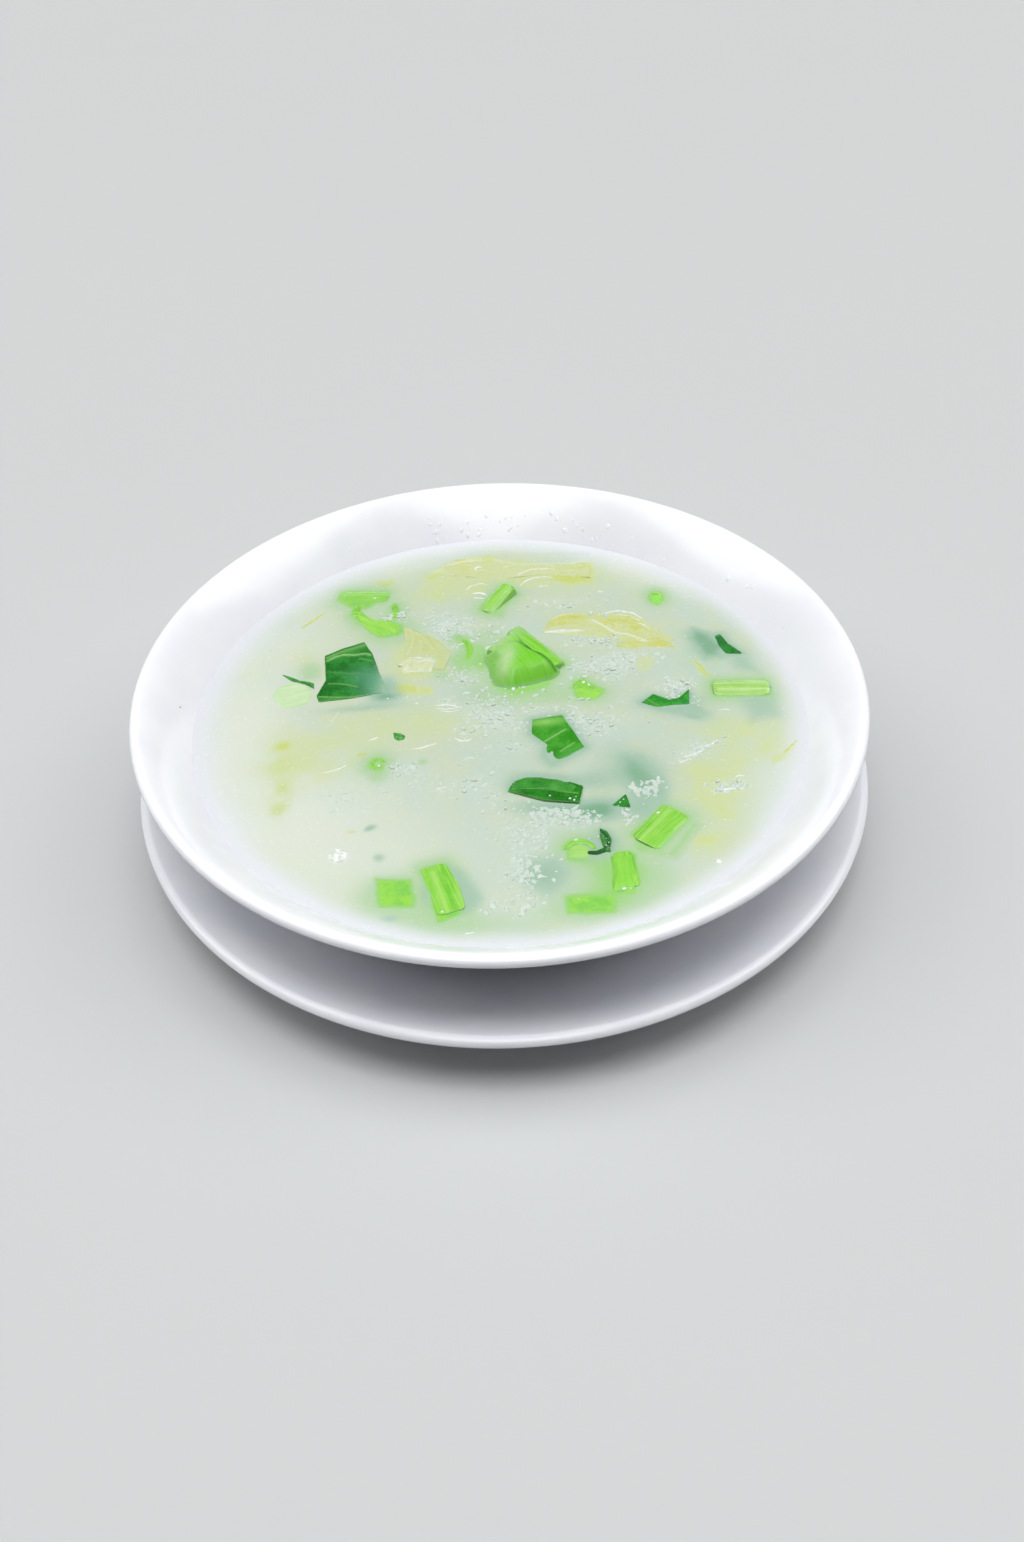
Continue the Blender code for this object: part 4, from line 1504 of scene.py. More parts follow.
LEAVES = (
    LeafPiece("leaf_large", settle=0.3,
              ribs=(Line(((-57.8, 27.8), (-55.1, 29.8), (-52.6, 30.9), (-48.7, 30.7), (-45.3, 31.3),
                          (-43.5, 30.5)), 0.45, 0.3, 0.85),
                    Line(((-56.5, 15.9), (-54.1, 15.7), (-51.1, 15.4), (-46.8, 13.9)), 0.3, 0.12, 0.5),
                    Line(((-59.1, 9.2), (-53.6, 8.8), (-48.6, 8.7), (-42.4, 9.8), (-36.1, 10.5)), 0.35,
                         0.15, 0.5), Line(((-46.9, 28.8), (-42.3, 27.2)), 0.3, 0.1, 0.4),
                    Line(((-58, 29.5), (-53.7, 32.5), (-45.5, 36.2)), 0.8, 0.1, 0.45),
                    Line(((-57, 22), (-50, 21), (-42, 20.5)), 0.25, 0.06, 0.25)),
              pale=(Spot(-54, 6.3, 12, 2.2, 3, 0.75), Spot(-50, 33, 9, 2, 25, 0.35)),
              veil=(Spot(-41, 16, 5.5, 8, 0, 0.75), Spot(-37.5, 11, 5, 3.5, 10, 0.7),
                    Spot(-45, 20, 6, 4, 0, 0.35)),
              fog=(Spot(-36.5, 11.5, 4, 6.5, 0, 0.95), Spot(-38.6, 20, 1.8, 9, 8, 0.55))),
    LeafPiece("leaf_right_tip", settle=0.8, veil=(Spot(67, 32, 6, 8, 0, 0.9),)),
    LeafPiece("leaf_folded", settle=1, ribs=(Line(((47, 4), (55, -2), (60, -3)), 0.3, 0.1, 0.4),),
              veil=(Spot(62, -1, 4, 2, -20, 0.6),),
              finish=LeafFinish("leaf_folded_blade", dark=seen(38, 138, 40), mid=seen(62, 162, 54))),
    LeafPiece("leaf_middle", settle=0.6,
              ribs=(Line(((11.4, -17.3), (20.7, -10)), 0.35, 0.15, 0.85),
                    Line(((18.7, -20.2), (23.1, -16.4)), 0.3, 0.1, 0.7)),
              pale=(Spot(21.3, -22.2, 4.5, 2.6, 30, 0.7),), strip=(Spot(14.6, -6, 6.5, 1.9, 8),),
              finish=LeafFinish("leaf_middle_blade", dark=seen(50, 146, 30), mid=seen(76, 168, 50))),
    LeafPiece("leaf_rolled", settle=0.6,
              ribs=(Line(((3.1, -35), (8.2, -36.2), (14.6, -37.4), (18.8, -38.8), (23, -39.7)), 0.3, 0.12,
                         0.5),), pale=(Spot(3.5, -37.5, 3, 2, 0, 0.5), Spot(8, -41, 8, 1.2, -8, 0.4)),
              veil=(Spot(13, -31.4, 10, 1, -10, 0.35),),
              finish=LeafFinish("leaf_rolled_blade", dark=seen(26, 108, 22), mid=seen(42, 134, 34))),
    LeafPiece("leaf_near_tip", edge=0.1, veil_top=0, rough=0.2, settle=0.7,
              finish=LeafFinish("leaf_near_tip_blade", dark=seen(24, 112, 28), mid=seen(46, 144, 44),
                                coat=0, light=seen(80, 170, 60), roughness=0.7)),
    LeafPiece("leaf_curl", settle=0.8, edge=0.1, rough=0.2,
              finish=LeafFinish("leaf_curl_blade", dark=seen(20, 92, 26), mid=seen(44, 132, 48), coat=0.1)),
)
CABBAGE = (
    CabbagePiece("cabbage_middle",
                 ribs=(Line(((16.1, 40.6), (29, 41.2)), 0.5, 0.3),
                       Line(((32.7, 46.4), (36.6, 43.1), (39.8, 39.9), (43.8, 38.6), (46.4, 37.1),
                             (50.6, 34.7)), 0.45, 0.3, 0.9),
                       Line(((41.8, 52.6), (46.9, 51.2), (50.6, 46.7), (54.4, 42.9)), 0.8, 0.3, 0.9)),
                 core=(Spot(43, 44.5, 7, 4.5, -25), Spot(22.5, 49, 7, 4, 10, 0.8),
                       Spot(52, 34, 9, 2.5, -20, 0.7))),
    CabbagePiece("cabbage_left",
                 ribs=(Line(((-30.6, 45), (-29.2, 40), (-30, 34), (-31.5, 31)), 0.5, 0.2, 0.5),
                       Line(((-28.6, 43), (-24.6, 37.6), (-22.6, 33.4)), 0.6, 0.2, 0.4),
                       Line(((-27, 39), (-26.4, 34.6), (-27, 31)), 0.4, 0.15, 0.4)),
                 core=(Spot(-29, 41, 4, 5), Spot(-25, 35.5, 5.5, 4, -30, 0.9),
                       Spot(-19.5, 26, 2.4, 7, 0, 0.8)), white=(Spot(-27.5, 25.4, 5.6, 4.2, 0, 0.75),),
                 settle=0.35, faint=(Spot(-17.5, 29, 4.2, 9.5, 0, 0.9), Spot(-24, 22, 12, 2.5, 0, 0.7)),
                 finish=CabbageFinish("cabbage_left_flesh", deep=seen(200, 210, 92),
                                      mid=seen(205, 217, 116), clear=seen(208, 220, 170))),
    CabbagePiece("cabbage_far",
                 ribs=(Line(((-20, 82), (-8, 85), (3, 86)), 0.5, 0.2, 0.6),
                       Line(((7.7, 75.3), (12.1, 78.3), (20.8, 78.6)), 0.5, 0.25, 0.8)),
                 core=(Spot(27, 78, 7, 6, 0, 0.9), Spot(-8, 82, 10, 5, 5, 0.6))),
)


# ------------------------------------------------------------------------ added to the greens


@dataclass(frozen=True)
class MilkyFinish:
    """Swollen rice, and the near-white wet folds and beads that stand in for glints: milky, mottled and
    very wet.
    """

    name: str
    light: Colour = seen(232, 240, 237)
    shade: Colour = seen(212, 226, 219)
    roughness: float = 0.16
    coat: float = 0.8
    mottle: float = 1.6

    def material(self) -> bpy.types.Material:
        """Build the material."""
        shader = Shader(self.name)
        cloud = shader.noise(self.mottle, detail=3.0)
        own = shader.remap(shader.attribute("shade"), 0.0, 1.0, -0.2, 0.2)
        lightness = shader.math("ADD", shader.remap(cloud, 0.35, 0.65, 0.2, 0.8), own)
        colour = shader.mix(lightness, self.shade, self.light)
        gloss = shader.remap(cloud, 0.3, 0.7, self.roughness * 0.7, self.roughness * 1.5)
        shader.set(Base_Color=colour, Roughness=gloss, IOR=WET_IOR,
                   Coat_Weight=self.coat, Coat_Roughness=0.05)
        shader.bump(cloud, 0.2, 0.15)
        return shader.material


class Ground:
    """The visible top of the congee and the greens, to lay small things on."""

    def __init__(self, measures: Measures, congee: bpy.types.Object, greens: Sequence[Refined]) -> None:
        """Build the search trees."""
        self.measures = measures
        surface = [tuple(face.vertices) for face in congee.data.polygons]
        self.congee = joined_tree([(coordinates(congee.data), surface)])
        self.greens = joined_tree(fine.tree(*VISIBLE) for fine in greens)

    def height(self, x: float, y: float) -> tuple[float, bool]:
        """Height over the congee's level at a place, and whether a green lies there.

        Args:
            x: The place across.
            y: The place along.

        Returns:
            The height in millimetres, and true on a green.
        """
        start = self.measures.place(x, y, 40)
        heights = []
        for tree in (self.congee, self.greens):
            hit = tree.ray_cast(start, Vector((0, 0, -1)))[0]
            heights.append(-99.0 if hit is None else hit.z / MM - self.measures.level)
        return max(heights), heights[1] > heights[0]

    def heights(self, points: Iterable[Point]) -> np.ndarray:
        """The height over the level at each of some places."""
        return np.array([self.height(x, y)[0] for x, y in points])

    def clearance(self, x: float, y: float) -> float:
        """How far a place on the congee is from the nearest green, in millimetres."""
        found = self.greens.find_nearest(self.measures.place(x, y), 30 * MM)[3]
        return 30.0 if found is None else found / MM


@dataclass(frozen=True)
class Mound:
    """A piece that just breaks the surface: an outline with a rounded top, closed below.

    Its outline is in the congee's plane; its foot and top are heights over the level. The
    lean lifts its far side over its near side, in millimetres of height per millimetre.
    """

    outline: tuple[Point, ...]
    top: float
    foot: float = -0.5
    shoulder: float = 2.0
    lean: float = 0.0
    rough: float = 0.12
    inside: tuple[Spot, ...] = ()
    groove: tuple[Line, ...] = ()
    stripe: tuple[Line, ...] = ()
    dome: bool = False
    film_top: float = 0.35
    around: int = 140
    rings: int = 36

    def border(self) -> np.ndarray:
        """The outline as even, slightly rounded points round the piece."""
        even = evenly(self.outline + self.outline[:1], self.around, closed=True)
        for _ in range(3):
            even = (np.roll(even, 1, axis=0) + even * 2 + np.roll(even, -1, axis=0)) / 4
        return even

    def build(
        self, name: str, measures: Measures, finish: object, slot: str, grain: float = 0.0
    ) -> bpy.types.Object:
        """Make the piece.

        Args:
            name: Its name.
            measures: Where the congee is.
            finish: The finish that dresses it.
            slot: The record's slot that the finish stands for.
            grain: The way its fibres run, in degrees from the x axis.

        Returns:
            The finished piece.
        """
        border = self.border()
        middle = border.mean(axis=0)
        reach = np.hypot(*(border - middle).T)
        shares = np.linspace(1, 0.02, self.rings) ** 0.8
        rings = []
        for share in shares:
            places = middle + (border - middle) * share
            climb = np.clip(reach * (1 - share) / self.shoulder, 0, 1)
            rise = np.sin(climb * math.pi / 2) if self.dome else smoothstep(0, 1, np.sqrt(climb))
            lean = self.lean * (places[:, 1] - middle[1])
            wave = self.rough * layered_noise(places[:, 0] + 7, places[:, 1] + 3, 3.0, 3, seed=71)
            dent = raised_by(self.groove, *places.T)
            lifted = self.foot + (self.top + lean + wave - dent - self.foot) * rise
            rings.append(np.column_stack([places, lifted]))
        count = self.around
        crown = np.array([[*middle, rings[-1][:, 2].mean()], [*middle, self.foot - 0.4]])
        local = np.concatenate(rings + [crown])
        points = (local + [measures.centre_x, measures.centre_y, measures.level]) * MM
        faces = ring_faces(self.rings, count)
        last, top, low = (self.rings - 1) * count, self.rings * count, self.rings * count + 1
        faces += [(last + side, last + (side + 1) % count, top) for side in range(count)]
        faces += [((side + 1) % count, side, low) for side in range(count)]
        piece = mesh_object(name, points, faces)
        angle = math.radians(grain)
        x, y, lift = local.T
        store_all(
            piece.data, along=x * math.cos(angle) + y * math.sin(angle) + 50,
            across=y * math.cos(angle) - x * math.sin(angle) + 30,
            pale=0.5 + 0.5 * layered_noise(x, y, 4.0, 2, seed=81),
            film=1 - smoothstep(-0.15, self.film_top, lift), inside=combined(self.inside, x, y),
            groove=strongest(self.groove, x, y), stripe=strongest(self.stripe, x, y),
            **dict.fromkeys(("rib", "strip", "edge", "veil", "fog"), np.zeros(len(local))),
        )
        return finish_piece(piece, finish.material(), slot)


@dataclass(frozen=True)
class Thread:
    """A thin raised line: a strand, a wet fold or a smear, tapering at both ends."""

    points: tuple[Point, ...]
    width: float
    height: float = 0.25
    sunk: float = 0.08
    steps: int = 36
    sides: int = 10

    def spine(self) -> np.ndarray:
        """Even points along a smooth curve through the given ones."""
        even = evenly(self.points, self.steps)
        for _ in range(6):
            even[1:-1] = (even[:-2] + even[1:-1] * 2 + even[2:]) / 4
        return even

    def mesh(self, ground: Ground) -> Surface:
        """The thread's points over the congee's level, and its faces.

        Args:
            ground: What it lies on.

        Returns:
            The points in millimetres and the faces.
        """
        spine = self.spine()
        height = ground.heights(spine)
        way = np.gradient(spine, axis=0)
        way /= np.hypot(*way.T)[:, None]
        side = np.stack([-way[:, 1], way[:, 0]], axis=1)
        share = np.linspace(0, 1, self.steps)
        taper = np.clip(np.sin(math.pi * share), 0.02, 1) ** 0.5
        taper *= 0.8 + 0.3 * lattice_noise(share * 9, spine[:, 0], 1.0, seed=5)
        angles = np.linspace(0, 2 * math.pi, self.sides, endpoint=False)
        rings = []
        for step in range(self.steps):
            across = self.width / 2 * taper[step] * np.cos(angles)
            up = self.height * taper[step] * np.sin(angles) - self.sunk
            places = spine[step] + side[step] * across[:, None]
            rings.append(np.column_stack([places, height[step] + up]))
        count = self.sides
        faces = ring_faces(self.steps, count)
        faces.append(tuple(range(count))[::-1])
        faces.append(tuple((self.steps - 1) * count + corner for corner in range(count)))
        return np.concatenate(rings), faces


def blob(size: Point3, turn: float, tilt: float, seed: int, detail: int = 2) -> Surface:
    """A small irregular egg shape.

    Args:
        size: Its half sizes along, across and up.
        turn: Its turn about the upright, in radians.
        tilt: How far it leans, in radians.
        seed: Picks its dents.
        detail: How fine its mesh is.

    Returns:
        Its points round the origin and its faces.
    """
    bm = bmesh.new()
    bmesh.ops.create_icosphere(bm, subdivisions=detail, radius=1.0)
    random = np.random.default_rng(seed)
    points = np.array([vertex.co for vertex in bm.verts])
    faces = [tuple(vertex.index for vertex in face.verts) for face in bm.faces]
    bm.free()
    for _ in range(3):
        way = random.normal(size=3)
        way /= np.linalg.norm(way)
        points *= (1 + 0.13 * np.sin(2.4 * points @ way + random.uniform(0, 6)))[:, None]
    points *= size
    spin = np.array(Matrix.Rotation(turn, 3, "Z") @ Matrix.Rotation(tilt, 3, "Y"))
    return points @ spin.T, faces


class Gathered:
    """Many small parts joined in one piece."""

    def __init__(self, measures: Measures) -> None:
        """Start with nothing."""
        self.measures = measures
        self.points: list[np.ndarray] = []
        self.faces: list[tuple[int, ...]] = []
        self.shades: list[np.ndarray] = []
        self.count = 0

    def add(
        self, points: np.ndarray, faces: Iterable[tuple[int, ...]], shade: float | np.ndarray = 0.5
    ) -> None:
        """Add a part.

        Args:
            points: Its points in millimetres, from the greens' origin and the level.
            faces: Its faces.
            shade: Its own lightness from 0 to 1, or that of each point.
        """
        self.points.append(points)
        self.faces += [tuple(corner + self.count for corner in face) for face in faces]
        self.shades.append(np.broadcast_to(shade, len(points)))
        self.count += len(points)

    def build(self, name: str, material: bpy.types.Material, slot: str) -> bpy.types.Object:
        """Join the parts.

        Args:
            name: The piece's name.
            material: Its finish.
            slot: The record's slot that the finish stands for.

        Returns:
            The finished piece.
        """
        origin = [self.measures.centre_x, self.measures.centre_y, self.measures.level]
        piece = mesh_object(name, (np.concatenate(self.points) + origin) * MM, self.faces)
        store(piece.data, "shade", np.concatenate(self.shades))
        return finish_piece(piece, material, slot)


@dataclass(frozen=True)
class RiceGrains:
    """Swollen, broken grains: loose over the congee and heaped where the rice gathers."""

    count: int = 900
    flakes: int = 330
    on_greens: tuple[tuple[Spot, int], ...] = (
        (Spot(26.5, 36.5, 2.2, 1.2), 12), (Spot(36, 36, 4.5, 2), 46), (Spot(35, 51, 3, 2), 12),
        (Spot(-38, 51.5, 2.6, 1.2, 10), 18), (Spot(-33.4, 52.6, 2, 1.6), 16),
        (Spot(58.5, 9.5, 4, 2.4, 20), 44), (Spot(56, 5.5, 2.5, 1.6), 10),
        (Spot(-27, 25.5, 4.2, 3.2), 60),
    )
    heaps: tuple[tuple[Spot, int], ...] = (
        (Spot(-32.5, -24.5, 2.2, 1.6), 20), (Spot(-29, -28, 1.8, 1.4), 14),
        (Spot(44.5, -37, 3.6, 2.4, 30), 42), (Spot(37.5, -48.5, 2.2, 3.2), 26),
        (Spot(17, -47, 9, 2.6, -5), 80), (Spot(24.5, -50.5, 3.5, 2.6), 34),
        (Spot(8, -55, 3.2, 5.5, 10), 50), (Spot(5.5, -70, 3.4, 5), 46),
        (Spot(34, 22, 11, 4, 15), 90), (Spot(-14, 43, 9, 5, -30), 80), (Spot(-2, 0, 8, 9, 70), 110),
        (Spot(-14, 20, 5, 4), 24), (Spot(63, -20.5, 6.5, 1.6, 32), 46), (Spot(69, -38, 6, 1.6, 5), 34),
        (Spot(24, -9, 12, 7, 20), 90), (Spot(62, 2, 4, 2, -20), 20),
    )
    half: tuple[float, float] = (0.5, 1.5)
    flake_half: tuple[float, float] = (0.7, 1.8)
    heap_spread: float = 0.6
    keep_off: float = 0.7
    seed: int = 17
    reach: float = 88.0
    throws: int = 60000
    flake_throws: int = 40000
    flake_keep_off: float = 3.2

    def build(self, measures: Measures, congee: Congee, ground: Ground) -> bpy.types.Object:
        """Scatter the grains.

        Args:
            measures: Where the congee is.
            congee: Where its rice gathers.
            ground: What the grains lie on.

        Returns:
            The finished piece.
        """
        random = np.random.default_rng(self.seed)
        x, y, luck = random.uniform(-self.reach, self.reach, (3, self.throws))
        chance = congee.rice(x, y) ** 1.6 * (np.hypot(x, y) < self.reach)
        chosen = np.flatnonzero((luck + self.reach) / (2 * self.reach) < chance)[: self.count]
        places = [(x[index], y[index], self.keep_off * 3) for index in chosen]
        for spot, number in self.heaps + self.on_greens:
            keep_off = -1.0 if (spot, number) in self.on_greens else self.keep_off
            angle = math.radians(spot.turn)
            halves = (spot.half_length, spot.half_width)
            for along, across in random.normal(scale=self.heap_spread, size=(number, 2)) * halves:
                places.append((
                    spot.x + along * math.cos(angle) - across * math.sin(angle),
                    spot.y + along * math.sin(angle) + across * math.cos(angle), keep_off,
                ))
        grains = Gathered(measures)
        for index, (x, y, keep_off) in enumerate(places):
            if ground.clearance(x, y) < keep_off:
                continue
            half = random.uniform(*self.half) * random.uniform(0.6, 1.0)
            size = (half, half * random.uniform(0.45, 0.7), half * random.uniform(0.35, 0.5))
            points, faces = blob(size, random.uniform(0, math.pi), random.uniform(-0.3, 0.3), index)
            bury = random.uniform(0.2, 0.85) if keep_off > 0 else random.uniform(0.1, 0.6)
            points += (x, y, ground.height(x, y)[0] - bury * size[2])
            grains.add(points, faces, random.uniform(0, 1))
        finish = MilkyFinish("rice_milky", light=seen(215, 228, 217), shade=seen(207, 221, 210),
                             roughness=0.6, coat=0.0)
        return grains.build("rice_grains", finish.material(), "congee")

    def build_flakes(self, measures: Measures, congee: Congee, ground: Ground) -> bpy.types.Object:
        """Scatter the burst grains that lie flat and mostly sunk.

        Args:
            measures: Where the congee is.
            congee: Where its rice gathers.
            ground: What the grains lie on.

        Returns:
            The finished piece.
        """
        random = np.random.default_rng(self.seed + 1)
        x, y, luck = random.uniform(-self.reach, self.reach, (3, self.flake_throws))
        chance = congee.rice(x, y) ** 2.0 * (np.hypot(x, y) < self.reach - 2)
        flakes = Gathered(measures)
        for index in np.flatnonzero((luck + self.reach) / (2 * self.reach) < chance)[: self.flakes]:
            if ground.clearance(x[index], y[index]) < self.flake_keep_off:
                continue
            half = random.uniform(*self.flake_half)
            size = (half, half * random.uniform(0.5, 0.8), random.uniform(0.4, 0.6))
            points, faces = blob(size, random.uniform(0, math.pi), random.uniform(-0.12, 0.12), int(index))
            sunk = size[2] * random.uniform(0.6, 0.88)
            points += (x[index], y[index], ground.height(x[index], y[index])[0] - sunk)
            flakes.add(points, faces, random.uniform(0, 1))
        finish = MilkyFinish("rice_burst", light=seen(215, 227, 216), shade=seen(208, 222, 210),
                             roughness=0.6, coat=0.0)
        return flakes.build("rice_flakes", finish.material(), "congee")


@dataclass(frozen=True)
class Droplets:
    """Beads of liquid on the greens and the surface, coloured near white as painted glints."""

    beads: tuple[tuple[float, float, float], ...] = (
        (14.7, -40.4, 0.5), (20.7, -41.9, 0.6), (21.9, -42.6, 0.5), (18.4, -43.2, 0.35),
        (22.5, -41.2, 0.3), (46.7, -48.5, 0.75), (34.2, -77.6, 1.1), (36, -77.4, 0.7),
        (35.2, -70.6, 0.5), (15.3, -70.6, 0.55), (10.4, -73, 0.45), (4.7, 11.4, 1.2), (6.2, 12.2, 0.9),
        (11.7, 17.2, 0.7), (16.2, 21.9, 0.7), (27.6, 12.2, 1), (29.4, 11.4, 0.8), (-43.6, 62.9, 0.8),
        (-36.5, 8, 0.6), (-30.2, 8.4, 0.5), (-16, -13, 0.6), (-11.2, -12.8, 0.45),
        (-31.4, -11.2, 0.5), (21.6, -58.9, 0.8), (25.4, -58.2, 0.5), (28.2, -57.2, 0.5),
        (29.6, -60.1, 0.45), (30.2, -62.2, 0.4), (-17, -85, 0.7), (57.6, 4.4, 0.5),
        (66, 25.4, 0.4), (70.9, -2.2, 0.5), (91.3, -2.4, 0.6), (62, -53, 0.4), (66.1, -51.5, 0.4),
        (-77.8, 35.2, 0.45), (-84.4, 29, 0.4), (-79.5, 11.2, 0.4), (-37.9, -24.4, 0.7),
        (59.7, -54.2, 0.35), (-67, -31.6, 0.4), (-67.4, -43.2, 0.4), (71.4, 16, 0.5),
        (53.5, 38, 0.5), (-7.4, -20.8, 0.4), (35.6, -43.6, 0.4), (36.7, -42.6, 0.35),
        (35, -44.8, 0.3), (30.6, -58.6, 0.4), (31, -61, 0.35),
    )

    def build(self, measures: Measures, ground: Ground) -> bpy.types.Object:
        """Lay the beads.

        Args:
            measures: Where the congee is.
            ground: What they lie on.

        Returns:
            The finished piece.
        """
        beads = Gathered(measures)
        for index, (x, y, radius) in enumerate(self.beads):
            points, faces = blob((radius * 0.72, radius * 0.52, radius * 0.34), index * 0.7, 0.0, index,
                                 detail=3)
            beads.add(points + (x, y, ground.height(x, y)[0]), faces, 1.0)
        # Near-white colour on real beads: painted glints.
        finish = MilkyFinish("bead_white_glint", light=seen(250, 252, 250), shade=seen(226, 238, 226),
                             roughness=0.05)
        return beads.build("droplets", finish.material(), "congee")


@dataclass(frozen=True)
class Extra:
    """A piece beside the frame's own: its name, form, finish, slot and the way its fibres run."""

    name: str
    form: Mound
    finish: StemFinish | LeafFinish | CabbageFinish
    slot: str
    grain: float = 0.0

    def build(self, measures: Measures) -> bpy.types.Object:
        """Make the piece."""
        return self.form.build(self.name, measures, self.finish, self.slot, self.grain)


def soft_skin(name: str, **colours: Colour) -> StemFinish:
    """The finish of a stem just under the surface, which has little gloss of its own."""
    return StemFinish(name, coat=0.1, roughness=0.42, **colours)


